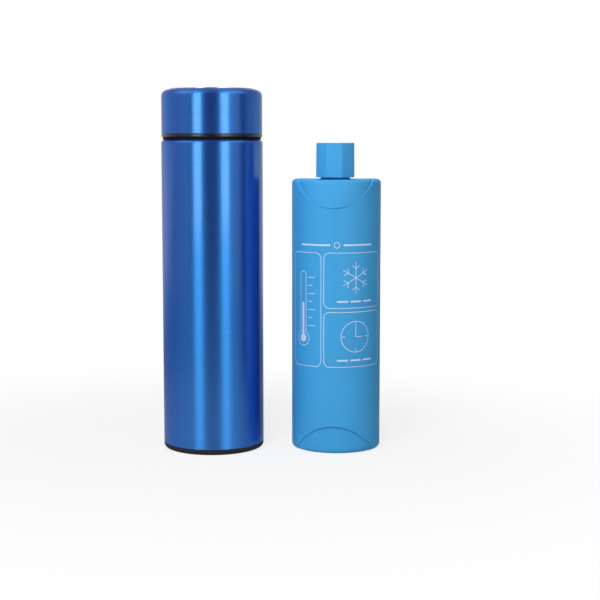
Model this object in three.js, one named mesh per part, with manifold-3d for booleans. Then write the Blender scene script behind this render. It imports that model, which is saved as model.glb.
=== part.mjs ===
// Vacuum-walled cooling case for injection pens, with a screw lid that shows the temperature inside it,
// and the cold gel bottle that cools it, which stands beside it here and goes into it in use.
// Millimetres, +Z up, front towards -Y, origin at the centre of the case's foot.
import * as THREE from "three";
import { mergeVertices } from "three/addons/utils/BufferGeometryUtils.js";
import Module from "manifold-3d";

// Clearances
const seatGap = 0.2; // between pieces that sit on or in each other
const slipGap = 0.3; // between pieces that move past each other
const overcut = 1; // by which a cutter runs past the face that it cuts

// Facets
const roundSegments = 36; // pieces as wide as the case
const smallSegments = 24; // spout, cap, probe and fasteners
const edgeSteps = 4; // each rounded edge
const screwSegments = 12; // board screws
const frontSegments = 27; // round front of the bottle
const backSegments = 8; // hollow back of the bottle
const fieldSegments = 48; // arched fields of the bottle

// Case body
const caseDiameter = 70;
const shoulderHeight = 214.5; // table to the top of the blue body
const shoulderRounding = 2.2;
const shellWall = 0.6;
const vacuumGap = 2.5;
const linerWall = 0.6;
const cavityFloorHeight = 12; // table to the floor of the cavity
const cavityCorner = 4;
const neckHeight = 13; // shoulder to the lip
const neckTaper = 4; // height over which the liner runs into the neck
const baseHeight = 3.8; // black foot that shows under the shell
const baseRounding = 3;
const baseSpigot = 2.5; // part of the foot inside the shell
const basePlateWall = 0.6;
const basePlateRim = 2.6;
const foilThickness = 0.2;
const foilMargin = 8; // bare liner left above and below the foil
const getterDiameter = 10;
const getterThickness = 1.6;
const getterOffset = 14; // from the case's axis
const sealPort = 3; // hole through which the wall is emptied
const sealBeadDiameter = 7;
const sealBeadHeight = 1.4;

// Screw thread of the lid
const lidPitch = 4.5;
const lidThread = { depth: 0.75, foot: 1.9, crest: 1.0 };
const neckThreadTurns = 1.25;
const lidThreadTurns = 1;
const neckThreadStart = 4.2; // shoulder to the middle of the thread's first end
const threadBite = 0.25; // how far a ridge is sunk into the wall that carries it

// Lid
const lidHeight = 34.4; // shoulder to the lid's flat top
const lidInset = 0.25; // lid's side behind the case's side
const lidShellWall = 0.6;
const lidEdgeWidth = 5.5;
const lidEdgeDrop = 4.4;
const lidStepHeight = 1.6; // dark step above the shoulder
const lidStepInset = 0.95; // behind the lid's side
const lidRingHeight = 2.1; // dark ring under the lid's shell
const lidRingProud = 0.1;
const cupWall = 0.95;
const cupCeiling = 1.6;
const gasketThickness = 1.7;
const gasketWidth = 2;
const gasketRibWall = 0.8;
const gasketRibHeight = 1.5;

// Display in the lid's top
const plateDiameter = 57.5;
const plateProud = 0.6;
const plateWall = 0.6;
const plateOverlap = 2.75; // flange beyond the hole in the lid's top
const plateSkirt = 3;
const windowDiameter = 39.4;
const windowThickness = 1;
const windowRecess = 0.1;
const windowLedge = 2;
const displaySize = { width: 26, depth: 14, height: 3 };
const boardThickness = 1;
const trayWall = 1;
const postDiameter = 4.4;
const postInset = 3.5; // middle of each post inside the board's rim
const postCount = 3;
const screw = { shank: 1.8, head: 3.6, headHeight: 1.2, length: 4 };
const cellDiameter = 20;
const cellHeight = 3.2;
const cellOffset = 11.5; // from the lid's axis
const clipThickness = 0.4;
const clipWidth = 5;

// Temperature probe in the lid's ceiling
const probeDiameter = 8;
const probeBore = 5;
const probeTip = 1.6; // below the flange
const probeEnd = 1; // closed end under the bore
const probeFlangeDiameter = 13;
const probeFlangeThickness = 0.8;
const probeSealThickness = 0.9;
const probeSealWidth = 1.7;
const probeNutWidth = 14; // across corners
const probeNutThickness = 2.2;
const probeStub = 0.6; // stem that shows above the nut
const leadDiameter = 2;

// Gel bottle
const bottleDistance = 20.1; // clear table between case and bottle
const bottleTurn = -5.5; // degrees about Z
const bottleWidth = 61.8;
const bottleHeight = 187.8;
const bottleWall = 1.6;
const bottleEdge = 2.4; // rounding of its top and bottom edges
const backRadius = 32.6; // hollow back, shaped to hold pens
const backDepth = 6; // middle of the hollow back behind the bottle's axis
const hornRadius = 3.4; // vertical edges beside the hollow back
const endRecess = 0.5; // arched fields at the front's two ends
const endArcRadius = 27.3;
const endArcDepth = 19.5;
const spoutDiameter = 20;
const spoutBore = 16;
const capPitch = 3.2;
const capThread = { depth: 0.9, foot: 1.5, crest: 0.8 };
const spoutThreadTurns = 1.5;
const capThreadTurns = 1.25;
const spoutThreadStart = 6.4; // cap's lower edge to the middle of the thread's first end
const capFacets = 8;
const capWidth = 27.8; // across corners
const capDraft = 0.2; // narrowing of the cap's radius towards its top
const capChamfer = 0.6;
const capHeight = 23.3;
const capCrown = 2;
const capGap = 1.4; // spout that shows under the cap
const capLinerThickness = 1.2;

// Radii of the case and the lid, from the outside in
const shellOuter = caseDiameter / 2;
const shellInner = shellOuter - shellWall;
const linerOuter = shellInner - vacuumGap;
const lidOuter = shellOuter - lidInset;
const lidInner = lidOuter - lidShellWall;
const cupOuter = lidInner - seatGap;
const cupInner = cupOuter - cupWall;
const neckOuter = cupInner - slipGap - lidThread.depth;
const neckInner = neckOuter - linerWall;
const shoulderHole = neckOuter + seatGap;

// Heights of the case and the lid, from the table up
const shellBottom = baseHeight + seatGap;
const spigotTop = baseHeight + baseSpigot;
const basePlateBottom = spigotTop + seatGap;
const basePlateTop = basePlateBottom + basePlateWall;
const lipHeight = shoulderHeight + neckHeight;
const lidBottom = shoulderHeight + slipGap;
const ringBottom = lidBottom + lidStepHeight;
const ringTop = ringBottom + lidRingHeight;
const gasketBottom = lipHeight + seatGap;
const ceilingBottom = gasketBottom + gasketThickness + seatGap;
const ceilingTop = ceilingBottom + cupCeiling;

// Heights in the lid, from its top down
const lidTop = shoulderHeight + lidHeight;
const plateTop = lidTop + plateProud;
const windowTop = plateTop - windowRecess;
const windowBottom = windowTop - windowThickness;
const displayTop = windowBottom - seatGap;
const boardTop = displayTop - displaySize.height - seatGap;
const boardBottom = boardTop - boardThickness;
const clipTop = boardBottom - seatGap;
const cellTop = clipTop - clipThickness - seatGap;
const trayFloor = cellTop - cellHeight - seatGap;
const trayBottom = trayFloor - trayWall;

// Radii of the display
const plateHole = plateDiameter / 2 - plateOverlap;
const skirtOuter = plateHole - seatGap;
const trayOuter = skirtOuter - plateWall - slipGap;
const trayInner = trayOuter - trayWall;
const boardRadius = trayInner - slipGap;
const postPlaces = Array.from({ length: postCount }, (_, i) => {
  const angle = (2 * Math.PI * (i + 0.5)) / postCount;
  const radius = boardRadius - postInset;
  return [radius * Math.cos(angle), radius * Math.sin(angle)];
});
const leadHole = leadDiameter / 2 + slipGap;

// Gel bottle, from its own axis and foot
const bottleRadius = bottleWidth / 2;
const spoutRadius = spoutDiameter / 2;
const spoutPlace = (backDepth - bottleRadius) / 2;
const capBottom = bottleHeight + capGap;
const capTop = capBottom + capHeight;
const capCeiling = capTop - capCrown;
const capLinerTop = capCeiling - seatGap;
const spoutTop = capLinerTop - capLinerThickness - seatGap;
const capBore = spoutRadius + capThread.depth + slipGap;

const wasm = await Module();
wasm.setup();

// Solid of a closed geometry, for joining and cutting.
function solidOf(geometry) {
  geometry.deleteAttribute("normal");
  geometry.deleteAttribute("uv");
  const merged = mergeVertices(geometry);
  return new wasm.Manifold(
    new wasm.Mesh({
      numProp: 3,
      vertProperties: merged.attributes.position.array,
      triVerts: new Uint32Array(merged.index.array),
    }),
  );
}

// Flat-shaded geometry of a solid.
function geometryOf(solid) {
  const { vertProperties, triVerts } = solid.getMesh();
  const indexed = new THREE.BufferGeometry();
  indexed.setAttribute("position", new THREE.BufferAttribute(vertProperties, 3));
  indexed.setIndex(new THREE.BufferAttribute(triVerts, 1));
  const geometry = indexed.toNonIndexed();
  geometry.computeVertexNormals();
  return geometry;
}

// Points of a round or elliptical edge about (r, z), angles in degrees from +r towards +z.
function edge(r, z, radiusR, radiusZ, from, to, steps = edgeSteps) {
  const start = THREE.MathUtils.degToRad(from);
  const end = THREE.MathUtils.degToRad(to);
  const curve = new THREE.EllipseCurve(r, z, radiusR, radiusZ, start, end, to < from);
  return curve.getPoints(steps).map((point) => [point.x, point.y]);
}

// Turned piece: a profile of [r, z] points, anticlockwise, that runs from axis to axis or closes on itself.
function turned(profile, segments = roundSegments) {
  const closed = profile[0][0] > 0 ? [...profile, profile[0]] : profile;
  const points = closed.map(([r, z]) => new THREE.Vector2(r, z));
  return new THREE.LatheGeometry(points, segments).rotateX(Math.PI / 2);
}

// Upright round bar or disc at (x, y).
function rod(radius, bottom, top, [x, y] = [0, 0], segments = smallSegments) {
  const bar = new THREE.CylinderGeometry(radius, radius, top - bottom, segments);
  return bar.rotateX(Math.PI / 2).translate(x, y, (bottom + top) / 2);
}

// Flat ring, or a tube.
function ring(inner, outer, bottom, top, segments = roundSegments) {
  const profile = [
    [inner, bottom],
    [outer, bottom],
    [outer, top],
    [inner, top],
  ];
  return turned(profile, segments);
}

// Middle line of a right-hand thread; a section drawn on it keeps x radial and y along the axis.
class ThreadPath extends THREE.Curve {
  constructor(radius, start, pitch, turns) {
    super();
    Object.assign(this, { radius, start, pitch, turns });
  }

  angleAt(share) {
    return 2 * Math.PI * this.turns * share;
  }

  getPoint(share, target = new THREE.Vector3()) {
    const angle = this.angleAt(share);
    const height = this.start + this.pitch * this.turns * share;
    return target.set(this.radius * Math.cos(angle), this.radius * Math.sin(angle), height);
  }

  computeFrenetFrames(steps) {
    const angles = Array.from({ length: steps + 1 }, (_, i) => this.angleAt(i / steps));
    return {
      tangents: angles.map((angle) => new THREE.Vector3(-Math.sin(angle), Math.cos(angle), 0)),
      normals: angles.map((angle) => new THREE.Vector3(Math.cos(angle), Math.sin(angle), 0)),
      binormals: angles.map(() => new THREE.Vector3(0, 0, -1)),
    };
  }
}

// Ridge of a thread on a wall of the given radius, standing outwards (side 1) or inwards (side -1).
function ridge(thread, side, radius, start, pitch, turns, segments) {
  const section = new THREE.Shape([
    new THREE.Vector2(-side * threadBite, -thread.foot / 2),
    new THREE.Vector2(side * thread.depth, -thread.crest / 2),
    new THREE.Vector2(side * thread.depth, thread.crest / 2),
    new THREE.Vector2(-side * threadBite, thread.foot / 2),
  ]);
  const extrudePath = new ThreadPath(radius, start, pitch, turns);
  return new THREE.ExtrudeGeometry(section, { steps: Math.round(segments * turns), extrudePath });
}

// Finishes
const finish = (color, roughness, metalness) => ({ color, roughness, metalness });
const blueCoat = finish(0x2f62b4, 0.32, 0.9);
const bareSteel = finish(0xb9bcc0, 0.3, 1);
const platedSteel = finish(0xc9cacd, 0.22, 1);
const copperFoil = finish(0xc07a52, 0.35, 1);
const sealMetal = finish(0x8f9092, 0.5, 0.8);
const blackRubber = finish(0x37343c, 0.75, 0);
const blackPlastic = finish(0x26262c, 0.45, 0);
const whiteSilicone = finish(0xe6e7e4, 0.6, 0);
const paleFoam = finish(0xe9e3cf, 0.95, 0);
const smokedAcrylic = finish(0x0b0b0e, 0.08, 0);
const boardGreen = finish(0x1d5a3a, 0.5, 0.1);
const displayGrey = finish(0x3a3b40, 0.4, 0);
const leadJacket = finish(0x2a2a2d, 0.6, 0);
const bottlePlastic = finish(0x51aadf, 0.5, 0);
const gel = finish(0x8fd0f2, 0.3, 0);

const coolingCase = new THREE.Group();
const caseBody = new THREE.Group();
const lid = new THREE.Group();
const bottle = new THREE.Group();
coolingCase.add(caseBody, lid, bottle);
bottle.position.x = shellOuter + bottleDistance + bottleRadius;
bottle.rotation.z = THREE.MathUtils.degToRad(bottleTurn);

function addPiece(group, name, shape, look) {
  const geometry = shape.isBufferGeometry ? shape : geometryOf(shape);
  const mesh = new THREE.Mesh(geometry, new THREE.MeshStandardMaterial(look));
  mesh.name = name;
  group.add(mesh);
}

// Blue outer wall with its rounded shoulder.
function outerShell() {
  const rounding = Math.min(shoulderRounding, shellOuter - shoulderHole);
  const middle = shellOuter - rounding;
  const inner = Math.max(rounding - shellWall, 0);
  return turned([
    [shellOuter, shellBottom],
    ...edge(middle, shoulderHeight - rounding, rounding, rounding, 0, 90),
    [shoulderHole, shoulderHeight],
    [shoulderHole, shoulderHeight - shellWall],
    ...edge(middle, shoulderHeight - rounding, inner, inner, 90, 0),
    [shellInner, shellBottom],
  ]);
}

// Steel cup that holds the cold, with the threaded neck.
function innerLiner() {
  const linerInner = linerOuter - linerWall;
  const underside = cavityFloorHeight - linerWall;
  const cornerInner = cavityCorner - linerWall;
  const taperTop = shoulderHeight - shoulderRounding - shellWall;
  const taperBottom = taperTop - neckTaper;
  const wall = turned([
    [0, underside],
    ...edge(linerOuter - cavityCorner, underside + cavityCorner, cavityCorner, cavityCorner, -90, 0),
    [linerOuter, taperBottom],
    [neckOuter, taperTop],
    [neckOuter, lipHeight],
    [neckInner, lipHeight],
    [neckInner, taperTop],
    [linerInner, taperBottom],
    ...edge(linerOuter - cavityCorner, underside + cavityCorner, cornerInner, cornerInner, 0, -90),
    [0, cavityFloorHeight],
  ]);
  const start = shoulderHeight + neckThreadStart;
  const thread = ridge(lidThread, 1, neckOuter, start, lidPitch, neckThreadTurns, roundSegments);
  return solidOf(wall).add(solidOf(thread));
}

// Steel pan that closes the wall from below, with the port through which it is emptied.
function shellBasePlate() {
  const outer = shellInner - seatGap;
  const inner = outer - basePlateWall;
  const rimTop = basePlateTop + basePlateRim;
  return turned([
    [sealPort / 2, basePlateBottom],
    [outer, basePlateBottom],
    [outer, rimTop],
    [inner, rimTop],
    [inner, basePlateTop],
    [sealPort / 2, basePlateTop],
  ]);
}

// Bead that plugs the port, rounded below.
function vacuumSeal() {
  const top = basePlateBottom - seatGap;
  const dome = edge(0, top, sealBeadDiameter / 2, sealBeadHeight, -90, 0);
  return turned([...dome, [0, top]], smallSegments);
}

// Black foot with a rounded edge, a spigot inside the shell and a hollow over the bead.
function basePad() {
  const spigot = shellInner - slipGap;
  const rounding = Math.min(baseRounding, baseHeight);
  const pocket = sealBeadDiameter / 2 + slipGap;
  const pocketFloor = basePlateBottom - seatGap - sealBeadHeight - slipGap;
  return turned([
    [0, 0],
    ...edge(shellOuter - rounding, rounding, rounding, rounding, -90, 0),
    [shellOuter, baseHeight],
    [spigot, baseHeight],
    [spigot, spigotTop],
    [pocket, spigotTop],
    [pocket, pocketFloor],
    [0, pocketFloor],
  ]);
}

// Blue lid wall with its rounded top edge and the hole for the display.
function lidShell() {
  const bottom = ringTop + seatGap;
  const middle = lidOuter - lidEdgeWidth;
  const spring = lidTop - lidEdgeDrop;
  return turned([
    [lidOuter, bottom],
    ...edge(middle, spring, lidEdgeWidth, lidEdgeDrop, 0, 90),
    [plateHole, lidTop],
    [plateHole, lidTop - lidShellWall],
    ...edge(middle, spring, lidEdgeWidth - lidShellWall, lidEdgeDrop - lidShellWall, 90, 0),
    [lidInner, bottom],
  ]);
}

// Radii of the gasket, centred on the lip.
const gasketInner = neckOuter - linerWall / 2 - gasketWidth / 2;
const gasketOuter = gasketInner + gasketWidth;

// Black threaded cup inside the lid, with the dark ring and step that show under the lid's shell.
function lidCup() {
  const ribOuter = gasketInner - slipGap;
  const ribInner = ribOuter - gasketRibWall;
  const ribBottom = ceilingBottom - gasketRibHeight;
  const probeHole = probeDiameter / 2 + slipGap;
  const step = lidOuter - lidStepInset;
  const rim = lidOuter + lidRingProud;
  const wall = turned([
    [probeHole, ceilingBottom],
    [ribInner, ceilingBottom],
    [ribInner, ribBottom],
    [ribOuter, ribBottom],
    [ribOuter, ceilingBottom],
    [cupInner, ceilingBottom],
    [cupInner, lidBottom],
    [step, lidBottom],
    [step, ringBottom],
    [rim, ringBottom],
    [rim, ringTop],
    [cupOuter, ringTop],
    [cupOuter, ceilingTop],
    [probeHole, ceilingTop],
  ]);
  const start = shoulderHeight + neckThreadStart - lidPitch / 2;
  const thread = ridge(lidThread, -1, cupInner, start, lidPitch, lidThreadTurns, roundSegments);
  return solidOf(wall).add(solidOf(thread));
}

// Insulation over the cup's ceiling and round the electronics tray.
function lidFoam() {
  const hole = probeNutWidth / 2 + slipGap;
  const outer = lidInner - slipGap;
  const collar = trayOuter + slipGap;
  const collarTop = Math.min(lidTop - lidEdgeDrop, lidTop - plateSkirt) - slipGap;
  return turned([
    [hole, ceilingTop + seatGap],
    [outer, ceilingTop + seatGap],
    [outer, collarTop],
    [collar, collarTop],
    [collar, trayBottom - seatGap],
    [hole, trayBottom - seatGap],
  ]);
}

// Grey plate in the lid's top: flange, skirt and the sunk ledge that carries the window.
function topPlate() {
  const flangeBottom = lidTop + seatGap;
  const webBottom = plateTop - plateWall;
  const seat = windowDiameter / 2 + slipGap;
  const ledgeTop = windowBottom - seatGap;
  const ledgeInner = windowDiameter / 2 - windowLedge;
  return turned([
    [plateDiameter / 2, flangeBottom],
    [plateDiameter / 2, plateTop],
    [seat, plateTop],
    [seat, ledgeTop],
    [ledgeInner, ledgeTop],
    [ledgeInner, ledgeTop - plateWall],
    [seat + plateWall, ledgeTop - plateWall],
    [seat + plateWall, webBottom],
    [skirtOuter - plateWall, webBottom],
    [skirtOuter - plateWall, webBottom - plateSkirt],
    [skirtOuter, webBottom - plateSkirt],
    [skirtOuter, flangeBottom],
  ]);
}

// Plastic tray under the plate, with posts that carry the board.
function electronicsTray() {
  const rimTop = plateTop - plateWall - seatGap;
  const postTop = boardBottom - seatGap;
  const cup = turned([
    [leadHole, trayBottom],
    [trayOuter, trayBottom],
    [trayOuter, rimTop],
    [trayInner, rimTop],
    [trayInner, trayFloor],
    [leadHole, trayFloor],
  ]);
  const pilot = screw.shank / 2 + seatGap;
  const pilotBottom = boardTop - screw.length;
  return postPlaces.reduce((tray, place) => {
    const post = solidOf(rod(postDiameter / 2, trayFloor - trayWall / 2, postTop, place));
    const hole = solidOf(rod(pilot, pilotBottom, postTop + overcut, place));
    return tray.add(post).subtract(hole);
  }, solidOf(cup));
}

// Round board with its screw holes.
function circuitBoard() {
  const disc = rod(boardRadius, boardBottom, boardTop, [0, 0], roundSegments);
  const hole = screw.shank / 2 + seatGap;
  return postPlaces.reduce((board, place) => {
    return board.subtract(solidOf(rod(hole, boardBottom - overcut, boardTop + overcut, place)));
  }, solidOf(disc));
}

// Pan-head screw that holds the board on a post.
function boardScrew(place) {
  const headBottom = boardTop + seatGap;
  const headTop = headBottom + screw.headHeight;
  const profile = [
    [0, headBottom - screw.length],
    [screw.shank / 2, headBottom - screw.length],
    [screw.shank / 2, headBottom],
    [screw.head / 2, headBottom],
    [screw.head / 2, headTop],
    [0, headTop],
  ];
  return turned(profile, screwSegments).translate(...place, 0);
}

// Spring strip over the coin cell, with a leg on each side.
function batteryClip() {
  const inner = cellDiameter / 2 + slipGap;
  const outer = inner + clipThickness;
  const foot = trayFloor + seatGap;
  const outline = new THREE.Shape([
    new THREE.Vector2(-outer, foot),
    new THREE.Vector2(-inner, foot),
    new THREE.Vector2(-inner, clipTop - clipThickness),
    new THREE.Vector2(inner, clipTop - clipThickness),
    new THREE.Vector2(inner, foot),
    new THREE.Vector2(outer, foot),
    new THREE.Vector2(outer, clipTop),
    new THREE.Vector2(-outer, clipTop),
  ]);
  const strip = new THREE.ExtrudeGeometry(outline, { depth: clipWidth, bevelEnabled: false });
  return strip.rotateX(Math.PI / 2).rotateZ(Math.PI / 2).translate(cellOffset - clipWidth / 2, 0, 0);
}

// Heights of the probe, down from the cup's ceiling.
const probeSealTop = ceilingBottom - seatGap;
const probeFlangeTop = probeSealTop - probeSealThickness - seatGap;
const probeFlangeBottom = probeFlangeTop - probeFlangeThickness;
const probeBottom = probeFlangeBottom - probeTip;
const probeNutBottom = ceilingTop + seatGap;
const probeNutTop = probeNutBottom + probeNutThickness;

// Steel thimble with a flange under the ceiling and a hollow stem through it.
function temperatureProbe() {
  const stem = probeDiameter / 2;
  const bore = probeBore / 2;
  const top = probeNutTop + probeStub;
  const profile = [
    [0, probeBottom],
    [stem, probeBottom],
    [stem, probeFlangeBottom],
    [probeFlangeDiameter / 2, probeFlangeBottom],
    [probeFlangeDiameter / 2, probeFlangeTop],
    [stem, probeFlangeTop],
    [stem, top],
    [bore, top],
    [bore, probeBottom + probeEnd],
    [0, probeBottom + probeEnd],
  ];
  return turned(profile, smallSegments);
}

// Six-sided nut that clamps the probe from above.
function probeNut() {
  const sides = 6;
  const blank = solidOf(rod(probeNutWidth / 2, probeNutBottom, probeNutTop, [0, 0], sides));
  const hole = rod(probeDiameter / 2 + seatGap, probeNutBottom - overcut, probeNutTop + overcut);
  return blank.subtract(solidOf(hole));
}

// Outline of the bottle drawn in by the given amount: a round front, a hollow back and rounded edges between.
function bottleOutline(inset) {
  const front = bottleRadius - inset;
  const back = backRadius + inset;
  const horn = hornRadius - inset;
  const backPlace = backDepth + backRadius;
  const reach = front - horn;
  const hornY = (reach ** 2 - (back + horn) ** 2 + backPlace ** 2) / (2 * backPlace);
  const hornX = Math.sqrt(reach ** 2 - hornY ** 2);
  const frontEnd = THREE.MathUtils.radToDeg(Math.atan2(hornY, hornX));
  const backEnd = THREE.MathUtils.radToDeg(Math.atan2(hornY - backPlace, hornX));
  const runs = [
    edge(0, 0, front, front, 180 - frontEnd, 360 + frontEnd, frontSegments),
    edge(hornX, hornY, horn, horn, frontEnd, 180 + backEnd, edgeSteps).slice(1),
    edge(0, backPlace, back, back, backEnd, -180 - backEnd, backSegments).slice(1),
    edge(-hornX, hornY, horn, horn, -backEnd, 180 - frontEnd, edgeSteps).slice(1, -1),
  ];
  return new THREE.Shape(runs.flat().map(([x, y]) => new THREE.Vector2(x, y)));
}

// Upright body on that outline with rounded ends.
function bottleBlock(inset, bottom, top) {
  const block = new THREE.ExtrudeGeometry(bottleOutline(inset), {
    depth: top - bottom - 2 * bottleEdge,
    bevelThickness: bottleEdge,
    bevelSize: bottleEdge / 2,
    bevelOffset: -bottleEdge / 2,
    bevelSegments: edgeSteps / 2,
  });
  return solidOf(block.translate(0, 0, bottom + bottleEdge));
}

// Cutter for the arched field at one end of the bottle's front.
function endField(middle) {
  const length = bottleRadius + overcut;
  const barrel = new THREE.CylinderGeometry(endArcRadius, endArcRadius, length, fieldSegments);
  return solidOf(barrel.translate(0, -length / 2, middle));
}

// Blown bottle: arched fields sunk into its front, a threaded spout and a hollow inside.
function gelBottle() {
  const core = bottleBlock(endRecess, 0, bottleHeight);
  const topField = endField(bottleHeight - endArcDepth + endArcRadius);
  const bottomField = endField(endArcDepth - endArcRadius);
  const body = bottleBlock(0, 0, bottleHeight).subtract(topField).subtract(bottomField).add(core);
  const hollow = bottleBlock(bottleWall, bottleWall, bottleHeight - bottleWall);
  const place = [0, spoutPlace];
  const spout = solidOf(rod(spoutRadius, bottleHeight - bottleWall / 2, spoutTop, place));
  const start = capBottom + spoutThreadStart;
  const thread = ridge(capThread, 1, spoutRadius, start, capPitch, spoutThreadTurns, smallSegments);
  const bore = solidOf(rod(spoutBore / 2, bottleHeight - bottleWall - overcut, spoutTop + overcut, place));
  return body.add(spout).add(solidOf(thread.translate(...place, 0))).subtract(hollow).subtract(bore);
}

// Faceted screw cap.
function bottleCap() {
  const wide = capWidth / 2;
  const narrow = wide - capDraft;
  const profile = [
    [0, capBottom],
    [wide, capBottom],
    [narrow, capTop - capChamfer],
    [narrow - capChamfer, capTop],
    [0, capTop],
  ];
  const blank = solidOf(turned(profile, capFacets).rotateZ(Math.PI / capFacets));
  const bore = solidOf(rod(capBore, capBottom - overcut, capCeiling));
  const start = capBottom + spoutThreadStart - capPitch / 2;
  const thread = ridge(capThread, -1, capBore, start, capPitch, capThreadTurns, smallSegments);
  return blank.subtract(bore).add(solidOf(thread)).translate([0, spoutPlace, 0]);
}

const foilInner = linerOuter + seatGap;
const foilBottom = cavityFloorHeight + foilMargin;
const foilTop = shoulderHeight - foilMargin;
const getterBottom = basePlateTop + seatGap;
const getterPlace = [getterOffset, 0];
const foilShape = ring(foilInner, foilInner + foilThickness, foilBottom, foilTop);
const getterShape = rod(getterDiameter / 2, getterBottom, getterBottom + getterThickness, getterPlace);
addPiece(caseBody, "outer_shell", outerShell(), blueCoat);
addPiece(caseBody, "shell_base_plate", shellBasePlate(), bareSteel);
addPiece(caseBody, "inner_liner", innerLiner(), bareSteel);
addPiece(caseBody, "reflective_foil", foilShape, copperFoil);
addPiece(caseBody, "getter_tablet", getterShape, sealMetal);
addPiece(caseBody, "vacuum_seal", vacuumSeal(), sealMetal);
addPiece(caseBody, "base_pad", basePad(), blackRubber);

const gasketShape = ring(gasketInner, gasketOuter, gasketBottom, gasketBottom + gasketThickness);
const windowShape = rod(windowDiameter / 2, windowBottom, windowTop, [0, 0], roundSegments);
const displayShape = new THREE.BoxGeometry(displaySize.width, displaySize.depth, displaySize.height);
displayShape.translate(0, 0, displayTop - displaySize.height / 2);
const cellShape = rod(cellDiameter / 2, cellTop - cellHeight, cellTop, [cellOffset, 0]);
const probeSealInner = probeDiameter / 2 + slipGap;
const probeSealBottom = probeSealTop - probeSealThickness;
const probeSealOuter = probeSealInner + probeSealWidth;
const probeSealShape = ring(probeSealInner, probeSealOuter, probeSealBottom, probeSealTop, smallSegments);
const leadBottom = probeBottom + probeEnd + seatGap;
addPiece(lid, "lid_shell", lidShell(), blueCoat);
addPiece(lid, "lid_cup", lidCup(), blackPlastic);
addPiece(lid, "lid_gasket", gasketShape, whiteSilicone);
addPiece(lid, "lid_foam", lidFoam(), paleFoam);
addPiece(lid, "top_plate", topPlate(), platedSteel);
addPiece(lid, "display_window", windowShape, smokedAcrylic);
addPiece(lid, "display_module", displayShape, displayGrey);
addPiece(lid, "circuit_board", circuitBoard(), boardGreen);
postPlaces.forEach((place, i) => addPiece(lid, `board_screw_${i + 1}`, boardScrew(place), bareSteel));
addPiece(lid, "electronics_tray", electronicsTray(), blackPlastic);
addPiece(lid, "coin_cell", cellShape, platedSteel);
addPiece(lid, "battery_clip", batteryClip(), bareSteel);
addPiece(lid, "temperature_probe", temperatureProbe(), platedSteel);
addPiece(lid, "probe_seal", probeSealShape, whiteSilicone);
addPiece(lid, "probe_nut", probeNut(), platedSteel);
addPiece(lid, "probe_lead", rod(leadDiameter / 2, leadBottom, boardBottom - seatGap), leadJacket);

const gelInset = bottleWall + slipGap;
const capLinerBottom = capLinerTop - capLinerThickness;
const capLinerShape = rod(capBore - slipGap, capLinerBottom, capLinerTop, [0, spoutPlace]);
addPiece(bottle, "gel_bottle", gelBottle(), bottlePlastic);
addPiece(bottle, "gel_fill", bottleBlock(gelInset, gelInset, bottleHeight - gelInset), gel);
addPiece(bottle, "bottle_cap", bottleCap(), bottlePlastic);
addPiece(bottle, "cap_liner", capLinerShape, whiteSilicone);

export default coolingCase;
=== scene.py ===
"""Cooling case for injection pens with its cold gel bottle, dressed for a studio picture.

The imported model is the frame: each piece takes its place from it, in metres, with +Z up and the front
towards -Y.
"""

import logging
import math
from abc import ABC, abstractmethod
from collections.abc import Sequence
from dataclasses import dataclass, field
from enum import Enum
from typing import ClassVar

import bmesh
import bpy
from bmesh.types import BMEdge, BMesh, BMFace, BMVert
from bpy.types import ID, Material, Node, NodeSocket, NodeTree, Object, World
from mathutils import Matrix, Vector


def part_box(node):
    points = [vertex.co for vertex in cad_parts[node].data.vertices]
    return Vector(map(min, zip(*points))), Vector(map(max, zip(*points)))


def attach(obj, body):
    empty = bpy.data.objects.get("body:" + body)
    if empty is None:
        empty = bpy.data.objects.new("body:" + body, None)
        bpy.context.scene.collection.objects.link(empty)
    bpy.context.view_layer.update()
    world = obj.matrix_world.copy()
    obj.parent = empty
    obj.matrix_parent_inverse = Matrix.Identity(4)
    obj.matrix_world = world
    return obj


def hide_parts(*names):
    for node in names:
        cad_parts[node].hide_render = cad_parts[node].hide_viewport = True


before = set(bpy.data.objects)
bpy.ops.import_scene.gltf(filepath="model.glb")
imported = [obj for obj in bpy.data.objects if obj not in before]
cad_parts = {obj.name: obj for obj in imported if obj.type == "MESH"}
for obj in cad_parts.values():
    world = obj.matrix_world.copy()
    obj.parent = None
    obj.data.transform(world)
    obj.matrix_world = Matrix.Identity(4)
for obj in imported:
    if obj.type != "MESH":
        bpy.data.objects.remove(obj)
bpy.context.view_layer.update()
log = logging.getLogger("cooling_case")

Colour = tuple[float, float, float, float]
Point = tuple[float, float]
Stroke = tuple[Point, Point, float]
Source = NodeSocket | float | tuple[float, ...]
MeshPart = BMVert | BMEdge | BMFace

WIDE_STEPS = 192  # round pieces as wide as the case
SMALL_STEPS = 96  # spout, cap bore and threads
ROUNDING_STEPS = 6  # each rounded edge
GUARD = 0.0001  # ring beside a rounding, which keeps the shading of the wall flat
WELD = 1e-6  # distance at which vertices are one
SHARP_ANGLE = math.radians(35)
QUAD = 4  # corners of a face of a wall, where a flat end has more
UP = Vector((0, 0, 1))
WHITE: Colour = (1.0, 1.0, 1.0, 1.0)
TONE_START, TONE_END = 0.3, 0.7  # part of a noise's range that runs from dark to light
NOISE_DETAIL = 3.0
MIX_FACTOR, MIX_FIRST, MIX_SECOND = 0, 6, 7  # inputs of a Mix node that mixes colours
MIX_RESULT = 2  # its output


class Body(Enum):
    """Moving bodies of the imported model."""

    CASE = "case"
    LID = "lid"
    BOTTLE = "bottle"
    CAP = "cap"


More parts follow.
